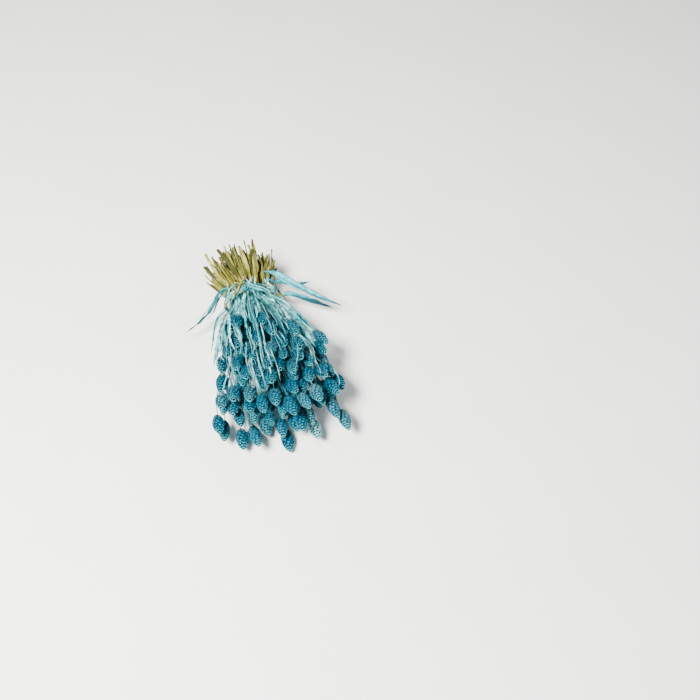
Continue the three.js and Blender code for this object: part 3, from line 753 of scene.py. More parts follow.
def many_carried(rings):
    """The closed surfaces of many like rows of rings at once: the first and last stations of each are
    its poles."""
    count, _, _, columns = rings.shape
    model = carried(rings[0, 1:-1], rings[0, [0, -1], :].mean(axis=1))[1]
    body = rings[:, 1:-1].reshape(count, -1, columns)
    poles = rings[:, [0, -1]].mean(axis=2)
    points = np.concatenate([body, poles], axis=1)
    starts = np.arange(count)[:, None, None] * points.shape[1]
    return points.reshape(-1, columns), (model[None] + starts).reshape(-1, 3)


def joined_parts(parts):
    """Several surfaces as one table of points and one of triangles."""
    starts = np.cumsum([0] + [len(points) for points, _ in parts[:-1]])
    triangles = [triangles + start for (_, triangles), start in zip(parts, starts)]
    return np.concatenate([points for points, _ in parts]), np.concatenate(triangles)


def unit(vectors):
    """Vectors divided by their lengths."""
    return vectors / np.maximum(np.linalg.norm(vectors, axis=-1, keepdims=True), 1e-9)


def across_axis(axis):
    """Two directions across an axis and across each other: a level one and one that points up."""
    side = unit(np.cross(axis, (0.0, 0.0, 1.0)))
    return side, np.cross(side, axis)


def section_way(angle):
    """The direction at an angle in a section of the bunch: its cosine along x and its sine along z."""
    return np.stack([np.cos(angle), 0 * angle, np.sin(angle)], axis=-1)


def round_angles(count):
    """Even angles once round, as the middle row of a grid of rings."""
    return np.linspace(0, 2 * np.pi, count, endpoint=False)[None, :, None]


def on_circle(angle, side, up):
    """Points of a circle: the cosine of the angle along one direction and its sine along the other."""
    return np.cos(angle) * side + np.sin(angle) * up


def with_marks(points, *marks):
    """Points with their marks as further columns, each spread over all the points."""
    columns = [np.broadcast_to(mark, points.shape[:-1])[..., None] for mark in marks]
    return np.concatenate([points, *columns], axis=-1)


def gone_along(path):
    """How far each point of a path is from its start: a running sum of its chords."""
    return np.concatenate([[0], np.cumsum(np.linalg.norm(np.diff(path, axis=0), axis=1))])


def places_at(wanted_steps, known_steps, places):
    """Places at the wanted steps, on straight stretches between the places at the known ones."""
    return np.stack([np.interp(wanted_steps, known_steps, column) for column in places.T], axis=-1)


def settled(packing, strand, t):
    """The strand's axis at distances t, rounded: a quarter, a half and a quarter of the places half a
    plane before, here and half a plane after."""
    half = PLANE / 2
    before, here, after = (packing.at(strand, np.asarray(t) + step) for step in (-half, 0, half))
    return (before + 2 * here + after) / 4


def ripple(t, phases, wave):
    """A smooth wandering number along t: two sines with lengths of about the wave and half of it."""
    return np.sin(2 * np.pi * t / wave + phases[0]) + 0.5 * np.sin(4.3 * np.pi * t / wave + phases[1])


def smooth_step(values):
    """From 0 to 1 with level ends: three squares less two cubes."""
    values = np.clip(values, 0, 1)
    return values**2 * (3 - 2 * values)


# Heads


def row_places(rows):
    """Where the rows of scale tips are, as shares of a head's length: equal steps along the outline of
    the egg, whose length is a running sum of short chords."""
    f = np.linspace(SCALE_FIRST, SCALE_LAST, 200)
    chords = np.hypot(np.gradient(f), HEAD_RADIUS / HEAD_LENGTH * np.gradient(egg(f)))
    outline = np.cumsum(chords)
    return np.interp(np.arange(rows) / (rows - 1), (outline - outline[0]) / (outline[-1] - outline[0]), f)


def scales(foot, tip, radius, settings, fade, chance):
    """All the scales of a head. Their tips lie on the egg in rows, each turned by half a scale and a
    little more against the one before. A scale is a boat: its half width is a sine of a power of its
    length, its section is a keeled roof over a shallow floor, and it leans out from the head's axis
    less and less towards the head's tip. The rows are uneven at the stem and even at the tip."""
    rows, around = settings.scale_rows, settings.scales_around
    n = rows * around
    axis = unit(tip - foot)
    length = np.linalg.norm(tip - foot)
    row = np.arange(n) // around
    f = row_places(rows)[row]
    uneven = UNEVEN_AT_TIP + (1 - f) * UNEVEN_MORE
    f = f + uneven * chance.normal(0, PLACE_SPREAD, n)
    angle = 2 * np.pi / around * (np.arange(n) + row / 2) + ROW_TWIST * row + chance.uniform(0, 2 * np.pi)
    angle = angle + uneven * chance.normal(0, ANGLE_SPREAD, n)
    out = on_circle(angle[:, None], *across_axis(axis))
    lean = SCALE_LEAN * (np.clip(1 - f, 0, 1) / (1 - SCALE_FIRST)) ** LEAN_FALL
    lean = (lean + uneven * chance.normal(0, LEAN_SPREAD, n))[:, None]
    along = on_circle(lean, axis, out)
    face = on_circle(lean, out, -axis)
    across = np.cross(along, face)
    long = chance.normal(1, SIZE_SPREAD, n) * settings.scale_length / MM
    girth = egg(np.maximum(LEAST_GIRTH_AT, f - long / 2 / length)) * radius / HEAD_RADIUS
    wide = chance.normal(1, SIZE_SPREAD, n) * settings.scale_width / MM / 2 * girth**GIRTH_POWER
    tips = foot + f[:, None] * length * axis + (radius * SCALE_REACH * egg(f))[:, None] * out
    s = np.array(SCALE_STATIONS)[None, :, None]
    w = np.array(SCALE_ACROSS)[None, None, :]
    lift = np.array(SCALE_ROOF)[None, None, :]
    swell = np.sin(np.pi * s**SCALE_BELLY)
    long = long[:, None, None]
    x = wide[:, None, None] * swell**SCALE_BLUNTNESS * w
    y = long * (s - 1) + 0 * w
    z = settings.scale_keel / MM * swell**KEEL_BLUNTNESS * lift + long * SCALE_CURL * s**2
    steps = ((x, across), (y, along), (z, face))
    points = sum(size[..., None] * direction[:, None, None, :] for size, direction in steps)
    points = points + tips[:, None, None, :]
    tint = np.clip(chance.normal(0.5, TINT_SPREAD, n), 0, 1)[:, None, None]
    # The rise from a scale's base to its tip lets the finish paint shade at the base, where the scale lies
    # under the next one.
    return many_carried(with_marks(points, s, np.abs(w), tint, fade, f[:, None, None]))


def bristles(foot, tip, radius, fade, chance):
    """Fine hairs between the scales, most of them near the stem: thin spindles of three sides whose
    roots lie under the skin of the egg and which lean forward from it."""
    n = BRISTLES
    axis = unit(tip - foot)
    f = BRISTLE_FIRST + BRISTLE_RUN * chance.uniform(0, 1, n) ** BRISTLE_CROWDING
    out = on_circle(chance.uniform(0, 2 * np.pi, n)[:, None], *across_axis(axis))
    lean = (BRISTLE_LEAN + chance.normal(0, BRISTLE_SPREAD, n))[:, None]
    root = foot + f[:, None] * (tip - foot) + (BRISTLE_ROOT * radius * egg(f))[:, None] * out
    end = root + chance.uniform(*BRISTLE_LENGTH, n)[:, None] * on_circle(lean, axis, out)
    middle = (1 - BRISTLE_BELLY) * root + BRISTLE_BELLY * end
    thick = BRISTLE_THICKNESS * on_circle(round_angles(3), np.cross(axis, out)[:, None], out[:, None])
    spread = np.ones((1, 3, 1))
    points = np.stack([root[:, None] * spread, middle[:, None] + thick, end[:, None] * spread], axis=1)
    rise = np.array(BRISTLE_RISES)[None, :, None]
    return many_carried(with_marks(points, rise, BRISTLE_EDGE, 0.5, fade, f[:, None, None]))


def painted_shade_core(foot, tip, radius, fade):
    """The inside of a head: a thinner egg, circles round its axis at steps of its length. Its rise mark of
    0 gives it the dark colour of the gaps, a painted shade inside the head.
    """
    f = np.linspace(*CORE_ENDS, CORE_STATIONS)[:, None, None]
    circle = on_circle(round_angles(CORE_SIDES), *across_axis(unit(tip - foot)))
    circles = radius * CORE_SHARE * egg(f) * circle
    rings = foot + f * CORE_LENGTH * (tip - foot) + circles
    return carried(with_marks(rings, 0, 0, CORE_TINT, fade, f[..., 0]))


def head_fade(middle, chance):
    """How far a head's dye has faded: hardly, but for the few faded ones by a bell curve round each."""
    away = [math.hypot(middle[0] - x, middle[1] + t) for x, t in FADED_HEADS]
    return FADE_SPREAD * chance.uniform(0, 1) ** 2 + math.exp(-((min(away) / FADED_REACH) ** 2))


def head_parts(strand, settings, chance):
    """The core, the scales and the bristles of a stem's head."""
    foot, tip = bunch().at(strand, [strand.tip - strand.head_length, strand.tip])
    fade = head_fade((foot + tip) / 2, chance)
    return [
        painted_shade_core(foot, tip, strand.head_radius, fade),
        scales(foot, tip, strand.head_radius, settings, fade, chance),
        bristles(foot, tip, strand.head_radius, fade, chance),
    ]


# Stems and sheaths


def tube(line, t, radii, marks, slant, phase):
    """A tube round a line, given as a function of the distance from the tie: a circle of the given
    radius at each distance. Its first ring is cut at a slant, by a cosine round it."""
    direction = unit(line(t + 1) - line(t - 1))
    side, up = across_axis(direction)
    angle = round_angles(STEM_SIDES)
    rings = line(t)[:, None] + radii[:, None, None] * on_circle(angle, side[:, None], up[:, None])
    at_cut = (np.abs(t - t.min()) < 0.01)[:, None, None]
    rings = rings + at_cut * slant * np.cos(angle + phase) * direction[:, None]
    return carried(with_marks(rings, *(mark[..., None] if np.ndim(mark) else mark for mark in marks)))


def line_of(packing, strand, chance):
    """The axis of a stem as a function of the distance from the tie: its settled place plus a slow
    wander of a fraction of a millimetre that dies out in the neck."""
    phases = chance.uniform(0, 2 * np.pi, (2, 2))

    def line(t):
        t = np.asarray(t, float)
        free = WANDER * np.clip((np.abs(t) - NECK_STIFF) / WANDER_REACH, 0, 1)
        points = settled(packing, strand, t)
        points[..., 0] += free * ripple(t, phases[0], WANDER_WAVE)
        points[..., 2] += free * ripple(t, phases[1], WANDER_WAVE)
        return points

    return line


def stem(line, strand, tint, chance):
    """A straw: a hollow cut end, a tube that thins as the layout's stem does and once more towards the
    cut, and knots, which are bell curves added to its radius."""
    foot = strand.tip - strand.head_length
    knots = np.array([chance.uniform(*CUT_KNOT), chance.uniform(*UPPER_KNOT) * foot])
    steps = np.append(np.arange(strand.start, foot, STEM_STEP), foot + STEM_IN_HEAD * strand.head_length)
    t = np.sort(np.concatenate([steps, *(knots[:, None] + KNOT_STEPS)]))
    t = t[t >= strand.start]
    swell = np.exp(-(((t[:, None] - knots) / KNOT_LENGTH) ** 2)).sum(axis=1)
    thinned = STEM_SHARE * stem_radius(t) * (1 - CUT_THINNING * smooth_step(-t / CUT_REACH))
    radii = thinned + KNOT_SWELL * swell
    inner = HOLLOW_SHARE * radii[0]
    all_t = np.concatenate([[strand.start + HOLLOW_DEPTH, strand.start], t])
    # The two rings inside the hollow cut end are marked for the painted shade of the hollow.
    inside = (np.arange(len(all_t)) < 2).astype(float)
    pale = np.concatenate([[0, 0], np.minimum(1, swell)])
    radii = np.concatenate([[inner, inner], radii])
    return tube(line, all_t, radii, (all_t, tint, pale, inside), CUT_SLANT, chance.uniform(*PHASES))


def sheath(line, first, last, tint, paleness, chance):
    """A leaf sheath round a stem: a wider tube that fills its place in the neck and narrows away from
    it by a bell curve, with an open, flared mouth at each end."""
    t = np.append(np.arange(first, last, STEM_STEP), last)
    culm = STEM_SHARE * stem_radius(t)
    beyond = np.maximum(0, np.abs(t) - NECK_STIFF)
    neck = (NECK_SHEATH - culm - SHEATH_GAP) * np.exp(-((beyond / SHEATH_NARROWING) ** 2))
    mouth = MOUTH_FLARE * (np.exp(-(last - t) / MOUTH_LENGTH) + np.exp(-(t - first) / MOUTH_LENGTH))
    radii = culm + SHEATH_GAP + neck + mouth
    stations = np.concatenate([[first + MOUTH_DEPTH, first], t, [last, last - MOUTH_DEPTH]])
    first_rim = [culm[0] * MOUTH_SHARE, radii[0] - SHEATH_WALL]
    last_rim = [radii[-1] - SHEATH_WALL, culm[-1] * MOUTH_SHARE]
    radii = np.concatenate([first_rim, radii, last_rim])
    # The rims inside the two mouths are marked for the painted shade of the hollow.
    inside = np.concatenate([[1, 1], np.zeros(len(t)), [1, 1]])
    marks = (stations, tint, paleness, inside)
    return tube(line, stations, radii, marks, MOUTH_SLANT, chance.uniform(*PHASES))


# Blades


def blade(path, faces, half_widths, rolls, chance, dry=0.0, tint=None, points=BLADE_POINTS):
    """A blade along a path. Its section is an arc whose half angle is the roll, and whose length is
    the blade's width. Ripples run across it, stronger towards the edges: sines of the distance along
    it, shifted a little with the distance across. Its two skins meet at thin edges."""
    if tint is None:
        tint = chance.uniform(0, 1) ** PALENESS
    direction = unit(np.gradient(path, axis=0))
    side = unit(np.cross(direction, faces))
    face = np.cross(side, direction)
    gone = gone_along(path)
    w = np.linspace(-1, 1, points)[None, :]
    roll = np.maximum(LEAST_ROLL, rolls)[:, None]
    reach = half_widths[:, None] / roll
    phases = chance.uniform(0, 2 * np.pi, 4)
    turns = 2 * np.pi * gone[:, None] / chance.uniform(*WRINKLE_WAVES)
    wrinkle = np.sin(turns + phases[0] + WRINKLE_SHEAR * w) * (WRINKLE_MIDDLE + (1 - WRINKLE_MIDDLE) * w**2)
    ruffle = np.sin(turns / RUFFLE_WAVE + phases[1] + RUFFLE_SHEAR * w) * np.abs(w) ** 3
    fold = np.exp(-((w / KEEL_WIDTH) ** 2)) * KEEL_FOLD
    size = np.minimum(1, half_widths / FULL_HALF_WIDTH)[:, None]
    x = reach * np.sin(roll * w)
    z = reach * (1 - np.cos(roll * w)) + size * (WRINKLE * wrinkle + RUFFLE * ruffle - fold)
    skin = BLADE_THICKNESS / 2 * (1 - EDGE_THINNING * w**2)
    over = x[..., None] * side[:, None] + (z + skin)[..., None] * face[:, None]
    under = x[..., None] * side[:, None] + (z - skin)[..., None] * face[:, None]
    rings = path[:, None] + np.concatenate([over, under[:, ::-1]], axis=1)
    across = np.concatenate([w[0], w[0, ::-1]])[None, :]
    return carried(with_marks(rings, (gone / gone[-1])[:, None], across, tint, dry))


def turned(faces, path, angles):
    """Directions turned about the path by angles, by Rodrigues' formula."""
    direction = unit(np.gradient(path, axis=0))
    faces = unit(faces - (faces * direction).sum(axis=1, keepdims=True) * direction)
    angles = angles[:, None]
    return on_circle(angles, faces, np.cross(direction, faces))


def twisting(kind, f, chance):
    """How far a blade is turned at shares f of its length: a drawn start and a drawn twist along it."""
    return chance.uniform(-kind.turn, kind.turn) + chance.uniform(-kind.twist, kind.twist) * f


def wandering_rolls(count, rolls, chance):
    """How tightly a blade is rolled along its length: a slow sine between two values."""
    low, high = rolls
    f = np.linspace(0, 1, count)
    swing = 0.5 + 0.5 * np.sin(2 * np.pi * (f * chance.uniform(*ROLL_WAVES) + chance.uniform(0, 1)))
    return low + (high - low) * swing


def packed_leaf(packing, leaf, chance):
    """A leaf of the packing: it leaves the side of its host stem and runs over to its own strand
    within a centimetre or so, facing out from the middle of the bunch, turned and twisted as its
    solid is."""
    root = PLANE_PLACES[leaf.root_plane] - leaf.way * ROOT_STEP
    end = leaf.tip if leaf.way > 0 else leaf.start
    count = int(abs(end - root) / BLADE_STEP)
    t = np.linspace(root, end, count)
    gap = INNER_ROOT_CLEAR if leaf.name == "inner_leaf" else ROOT_CLEAR
    out = unit(np.array([leaf.offset[0], 0, leaf.offset[1]]))
    beside_host = settled(packing, leaf.host, t) + (stem_radius(t) * ROOT_STEM_SHARE + gap)[:, None] * out
    over = smooth_step(np.abs(t - root) / ROOT_RUN)[:, None]
    path = (1 - over) * beside_host + over * settled(packing, leaf, t)
    middle, half_x, half_z, floor = section(t)
    outward_faces = [(path[:, 0] - middle) / half_x, 0 * t, (path[:, 2] - floor - half_z) / half_z]
    turn = over[:, 0] * (leaf.turn + leaf.twist * np.abs(t - root))
    faces = turned(unit(np.stack(outward_faces, axis=-1)), path, turn)
    f = np.abs(t - root) / abs(end - root)
    widths = blade_half_width(leaf.half_width, f, POINTED_END if leaf.way > 0 else BLUNT_END)
    widths = np.where(f < ROOT_SHARE, ROOT_HALF_WIDTH + f / ROOT_SHARE * ROOT_SWELL, widths)
    dry = float(leaf.way < 0)
    return blade(path, faces, widths, wandering_rolls(count, LEAF_ROLLS, chance), chance, dry)


def loose_leaf(packing, places, half_width, tint, chance):
    """A loose leaf: a smooth curve through its places, from the side of the nearest stem, against
    which its root lies flat before it turns its face up."""
    near = [packing.at(s, -places[0, 1]) for s in packing.stems]
    axis = min(near, key=lambda point: np.linalg.norm(point - places[0]))
    out = unit(places[0] - axis)
    root = axis + (STEM_RADIUS_NECK + LOOSE_ROOT_GAP) * out
    path = curve_through(np.concatenate([[root], places[1:]]), BLADE_STEP)
    gone = np.arange(len(path)) * BLADE_STEP
    over = smooth_step(gone / LEAF_STEP)[:, None]
    faces = unit((1 - over) * out + over * np.array([0.0, 0.0, 1.0]))
    faces = turned(faces, path, LOOSE_TURN / LEAF_STEP * gone)
    widths = blade_half_width(half_width, gone / gone[-1])
    rolls = wandering_rolls(len(path), LOOSE_ROLLS, chance)
    return blade(path, faces, widths, rolls, chance, tint=tint)


def companion_places(places, chance):
    """The places of a leaf beside a loose leaf: the same root, then places that stray from the loose
    leaf's ever further, up to a shorter end."""
    count = len(places)
    reach = np.linspace(0, chance.uniform(*COMPANION_LENGTHS) * (count - 1), count)
    f = np.linspace(0, 1, count)[:, None]
    return places_at(reach, np.arange(count), places) + f**STRAY_RISE * chance.normal(0, STRAY)


def curve_through(places, step):
    """Even steps along a Catmull-Rom curve, the cubic between two places whose slopes are half the
    chords between their neighbours."""
    ends = np.concatenate([[2 * places[0] - places[1]], places, [2 * places[-1] - places[-2]]])
    u = np.linspace(0, 1, SPAN_STEPS, endpoint=False)[:, None]
    spans = []
    for a, b, c, d in zip(ends, ends[1:], ends[2:], ends[3:]):
        bend = (2 * a - 5 * b + 4 * c - d) * u**2 + (3 * b - 3 * c + d - a) * u**3
        spans.append((2 * b + (c - a) * u + bend) / 2)
    dense = np.concatenate([*spans, places[-1:]])
    gone = gone_along(dense)
    return places_at(np.linspace(0, gone[-1], int(gone[-1] / step)), gone, dense)


def wisp(kind, path, out, f, chance):
    """A small blade of a kind along a path, of which f are the shares gone. It faces out, and its turn,
    twist, half width, roll and dye are drawn as its kind says. A share of some kinds are dry."""
    faces = turned(np.broadcast_to(out, path.shape), path, twisting(kind, f, chance))
    width = kind.half_width + kind.wider * chance.uniform(0, 1) ** kind.crowding
    rolls = wandering_rolls(len(f), kind.rolls, chance)
    dry = float(kind.dry > 0 and chance.uniform() < kind.dry)
    tint = kind.tint * chance.uniform(0, 1) ** PALENESS
    return blade(path, faces, blade_half_width(width, f), rolls, chance, dry, tint, kind.across)


# What dresses a stem


def rag(line, mouth, length, chance):
    """A small withered blade from a sheath's mouth: it follows the stem and drifts away from it by a
    power of its length."""
    t = np.linspace(mouth - RAG.root, mouth + length, max(RAG.points, int(length / WISP_STEP)))
    f = np.linspace(0, 1, len(t))
    out = section_way(chance.uniform(-RAG.below, np.pi + RAG.below))
    away = RAG.gap + chance.uniform(*RAG.drift) * f**RAG.curve
    return wisp(RAG, line(t) + away[:, None] * out, out, f, chance)


def beside(kind, line, t, chance):
    """A path beside a stem on the cut side: it leaves the stem by a growing gap, in a direction that
    sweeps round it. Also gives the direction and the share of its length at each point."""
    f = np.linspace(0, 1, len(t))
    end_gap = chance.uniform(*kind.end_gap)
    sweep = chance.uniform(-kind.sweep, kind.sweep)
    out = section_way(chance.uniform(0, 2 * np.pi) + sweep * f)
    gap = kind.gap + (end_gap - kind.gap) * f**1.5
    return line(t) + gap[:, None] * out, out, f


def strip_half_widths(kind, f, chance):
    """A torn strip widens from its root and narrows to its blunt end, by two clipped straight lines."""
    widths = chance.uniform(*kind.half_width) * np.minimum(1, kind.root + kind.widening * f)
    return widths * np.minimum(1, kind.end + STRIP_NARROWING * (1 - f))


def husk(line, first, last, chance):
    """A dry strip of sheath that still clasps a straw: a strip rolled round it that opens towards
    its free end, which is torn off blunt."""
    t = np.linspace(first, last, max(HUSK.points, int(abs(last - first) / WISP_STEP)))
    path, out, f = beside(HUSK, line, t, chance)
    widths = strip_half_widths(HUSK, f, chance)
    rolls = HUSK.roll - chance.uniform(*HUSK.opening) * f
    faces = turned(-out, path, chance.uniform(-HUSK.turn, HUSK.turn) * f)
    return blade(path, faces, widths, rolls, chance, 1, points=HUSK.across)


def stub(line, first, last, chance):
    """A loose straw between the others: a flattened, hollow tube beside a stem, cut at a slant. Its
    last ring comes back inside as the wall's inner edge and once more deeper in."""
    n = STUB.rings
    ring = np.arange(n + 2)
    outer = np.minimum(ring, n - 1)
    t = np.linspace(first, last, n)
    path, out, _ = beside(STUB, line, t, chance)
    direction = unit(np.gradient(path, axis=0))[outer]
    side = unit(np.cross(direction, out[outer]))
    deep = STUB.depth * (ring > n)
    path = path[outer] + deep[:, None] * unit(path[-2] - path[-1])
    girth = chance.uniform(*STUB.girth) * np.concatenate([np.linspace(STUB.narrow, 1, n), STUB.wall])
    angle = round_angles(STUB.sides)
    flat = chance.uniform(*STUB.flatness)
    circle = on_circle(angle, side[:, None], flat * np.cross(side, direction)[:, None])
    slant = chance.uniform(*STUB.slant) * np.cos(angle + chance.uniform(*PHASES))
    at_cut = np.isin(ring, (n - 1, n))[:, None, None]
    rings = path[:, None] + girth[:, None, None] * circle + at_cut * slant * direction[:, None]
    tint, pale = chance.uniform(0, 1), chance.uniform(0, STUB.pale)
    # The rings of the wall's inner edge and deeper in are marked for the painted shade of the hollow.
    return carried(with_marks(rings, (t[outer] + deep)[:, None], tint, pale, (ring >= n)[:, None]))


def flake(line, first, length, chance):
    """A torn piece of sheath among the cut ends: a short blunt strip that leaves its straw at a slant
    and bends away from it by the square of its length."""
    f = np.linspace(0, 1, FLAKE.points)
    out = section_way(chance.uniform(0, 2 * np.pi))
    away = unit(np.array([0, 1, 0]) + chance.uniform(*FLAKE.slope) * out)
    bend = chance.uniform(*FLAKE.bend) * f[:, None] ** 2 * out
    path = line(first) + FLAKE.gap * out + length * (f[:, None] * away + bend)
    widths = strip_half_widths(FLAKE, f, chance)
    faces = turned(np.broadcast_to(out, path.shape), path, twisting(FLAKE, f, chance))
    rolls = wandering_rolls(len(f), FLAKE.rolls, chance)
    return blade(path, faces, widths, rolls, chance, 1, points=FLAKE.across)


def dressed_stem(strand, chance):
    """The straws and the blades of one stem: the stem, its sheath and loose straws, and the withered
    blades beside them."""
    line = line_of(bunch(), strand, chance)
    # Painted shade: the nearer a stem is to the middle of the bunch, the darker its tint and the less pale
    # its sheath.
    inner = 1 - min(1, strand.u**2 + strand.v**2)
    tint = min(1, chance.uniform(0, 1) + INNER_SHADE * inner)
    foot = strand.tip - strand.head_length
    straws = [stem(line, strand, tint, chance)]
    blades = []
    mouth = min(foot - SHEATH_BELOW_HEAD, chance.uniform(*SHEATH_LAST))
    paleness = (1 - INNER_SHEATH_SHADE * inner) * (1 - tint) ** SHEATH_DYE
    straws.append(sheath(line, -chance.uniform(*SHEATH_FIRST), mouth, tint, paleness, chance))
    if chance.uniform() < RAG.share and mouth + RAG.least < foot:
        length = min(foot - mouth - RAG.below_head, chance.uniform(*RAG.length))
        blades.append(rag(line, mouth, length, chance))
    for _ in range(HUSK.count):
        end = strand.start * chance.uniform(*HUSK.last)
        blades.append(husk(line, -chance.uniform(*HUSK.first), end, chance))
    for _ in range(STUB.count):
        end = strand.start * chance.uniform(*STUB.last)
        straws.append(stub(line, -chance.uniform(*STUB.first), end, chance))
    if chance.uniform() < FLAKE.share:
        first = strand.start * chance.uniform(*FLAKE.first)
        length = min(chance.uniform(*FLAKE.length), first - strand.start)
        blades.append(flake(line, first, length, chance))
    return straws, blades


# The skirt and the collar


def skin_of(packing):
    """How far the bunch reaches from the middle of its section, in each plane and direction: for a
    disc at a distance across the direction, its place along it plus the half chord there. The widest
    of each value and its neighbours is then averaged with them."""
    angle = np.arange(SKIN_DIRECTIONS) * 2 * np.pi / SKIN_DIRECTIONS
    middle, _, half_z, floor = section(PLANE_PLACES)
    x = (packing.place[0] - middle)[..., None]
    z = (packing.place[1] - floor - half_z)[..., None]
    along = on_circle(angle, x, z)
    across = on_circle(angle, -z, x)
    radius = np.where(packing.radius > 0, packing.radius + SKIN_MARGIN, 0)[..., None]
    chord = np.sqrt(np.maximum(0, radius**2 - across**2))
    reach = np.where(chord > 0, along + chord, 0).max(axis=0)
    for _ in range(SKIN_WIDENINGS):
        reach = np.maximum(reach, np.maximum(np.roll(reach, 1, axis=1), np.roll(reach, -1, axis=1)))
    padded = np.concatenate([reach[:1], reach, reach[-1:]])
    reach = np.maximum(padded[1:-1], np.maximum(padded[:-2], padded[2:]))
    for _ in range(SKIN_SMOOTHINGS):
        padded = np.concatenate([reach[:1], reach, reach[-1:]])
        reach = (padded[:-2] + 2 * padded[1:-1] + padded[2:]) / 4
        reach = (np.roll(reach, 1, axis=1) + 2 * reach + np.roll(reach, -1, axis=1)) / 4
    return reach


def on_skin(skin, t, angle, lift):
    """Points over the skin at distances t from the tie and at angles round the bunch, by straight
    steps between the values of the skin, and the outward direction at each."""
    j = np.clip(t / PLANE - CUT_PLANE, 0, PLANES - 1.001)
    k = np.mod(angle / (2 * np.pi) * SKIN_DIRECTIONS, SKIN_DIRECTIONS)
    a, b = j.astype(int), k.astype(int) % SKIN_DIRECTIONS
    f, g = j - a, k - np.floor(k)
    b_next = (b + 1) % SKIN_DIRECTIONS
    low = (1 - g) * skin[a, b] + g * skin[a, b_next]
    high = (1 - g) * skin[a + 1, b] + g * skin[a + 1, b_next]
    reach = (1 - f) * low + f * high + lift
    middle, _, half_z, floor = section(t)
    out = section_way(angle)
    centre = np.stack([middle + 0 * t, -t, floor + half_z], axis=-1)
    return centre + reach[:, None] * out, out


def waves(kind, t, chance):
    """A drawn ripple along t with the wave of a kind of blade."""
    return ripple(t, chance.uniform(*PHASES, 2), kind.wave)


def skirt_blade(skin, chance):
    """A leaf that hangs from the neck: it starts under the skin and runs between the heads, wanders a
    little to the side, and lifts off towards its tip by a power of its length. A few lie on top."""
    off = np.clip(chance.normal(0, SKIRT.spread), -SKIRT.furthest, SKIRT.furthest)
    first = chance.uniform(*SKIRT.first)
    length = SKIRT.length + SKIRT.more * chance.uniform(0, 1) ** SKIRT.shortness
    length = length * (1 - SKIRT.side_loss * abs(off))
    t = np.linspace(first, first + length, int(length / WISP_STEP))
    f = np.linspace(0, 1, len(t))
    swing = chance.uniform(-SKIRT.swing, SKIRT.swing) * f + SKIRT.sway * waves(SKIRT, t, chance) * f
    on_top = chance.uniform() < SKIRT.on_top
    depth = chance.uniform(*(SKIRT.top_depth if on_top else SKIRT.depth))
    rise = chance.uniform(*(SKIRT.top_rise if on_top else SKIRT.rise))
    start = min(1, SKIRT.start + depth)
    lift = start + (depth - start) * smooth_step(SKIRT.ease * f) + rise * f**2 - SKIRT.tuck * (1 - f) ** 4
    path, out = on_skin(skin, t, np.pi / 2 + off + swing, lift)
    return wisp(SKIRT, path, out, f, chance)


def thread(skin, chance):
    """A narrow, long leaf between the heads: it comes out from under the skin between the stems, runs a
    little under it, and dips or rises by a slow wave."""
    off = np.clip(chance.normal(0, THREAD.spread), -THREAD.furthest, THREAD.furthest)
    first = chance.uniform(*THREAD.first)
    length = chance.uniform(*THREAD.length)
    t = np.linspace(first, first + length, int(length / WISP_STEP))
    f = np.linspace(0, 1, len(t))
    swing = chance.uniform(-THREAD.swing, THREAD.swing) * f + THREAD.sway * waves(THREAD, t, chance)
    lift = chance.uniform(*THREAD.lift) - THREAD.tuck * (1 - smooth_step(THREAD.ease * f))
    lift = lift + THREAD.rise * ripple(t, chance.uniform(*PHASES, 2), THREAD.rise_wave)
    path, out = on_skin(skin, t, np.pi / 2 + off + swing, lift)
    return wisp(THREAD, path, out, f, chance)


def collar_blade(skin, chance):
    """A leaf or strip that crosses the neck: it sweeps round part of it while it runs along it."""
    angle = chance.uniform(-COLLAR.below, np.pi + COLLAR.below)
    first = chance.uniform(*COLLAR.first)
    length = chance.uniform(*COLLAR.length)
    sweep = chance.uniform(-COLLAR.sweep, COLLAR.sweep)
    count = int((length + COLLAR.girth * abs(sweep)) / COLLAR.step) + COLLAR.least
    f = np.linspace(0, 1, count)
    lift = chance.uniform(*COLLAR.lift) + chance.uniform(*COLLAR.arch) * np.sin(np.pi * f)
    lift = lift + chance.uniform(*COLLAR.end_lift) * f**3
    t = first + length * f**COLLAR.lag
    path, out = on_skin(skin, t, angle + sweep * (1 - smooth_step(f)), lift)
    return wisp(COLLAR, path, out, f, chance)


# The tie


def neck_outline(packing):
    """The outline of the packed sheaths, in even steps: the furthest stem in each direction gives a
    point, and straight stretches join them."""
    angle = np.linspace(0, 2 * np.pi, TIE_DIRECTIONS, endpoint=False)
    out = np.stack([np.cos(angle), np.sin(angle)], axis=-1)
    necks = np.array([(s.neck_x, s.neck_z) for s in packing.stems])
    far = necks[np.argmax(out @ necks.T, axis=1)] + TIE_REACH * out
    ring = np.concatenate([far, far[:1]])
    gone = gone_along(ring)
    return places_at(np.linspace(0, gone[-1], TIE_STEPS, endpoint=False), gone, ring)


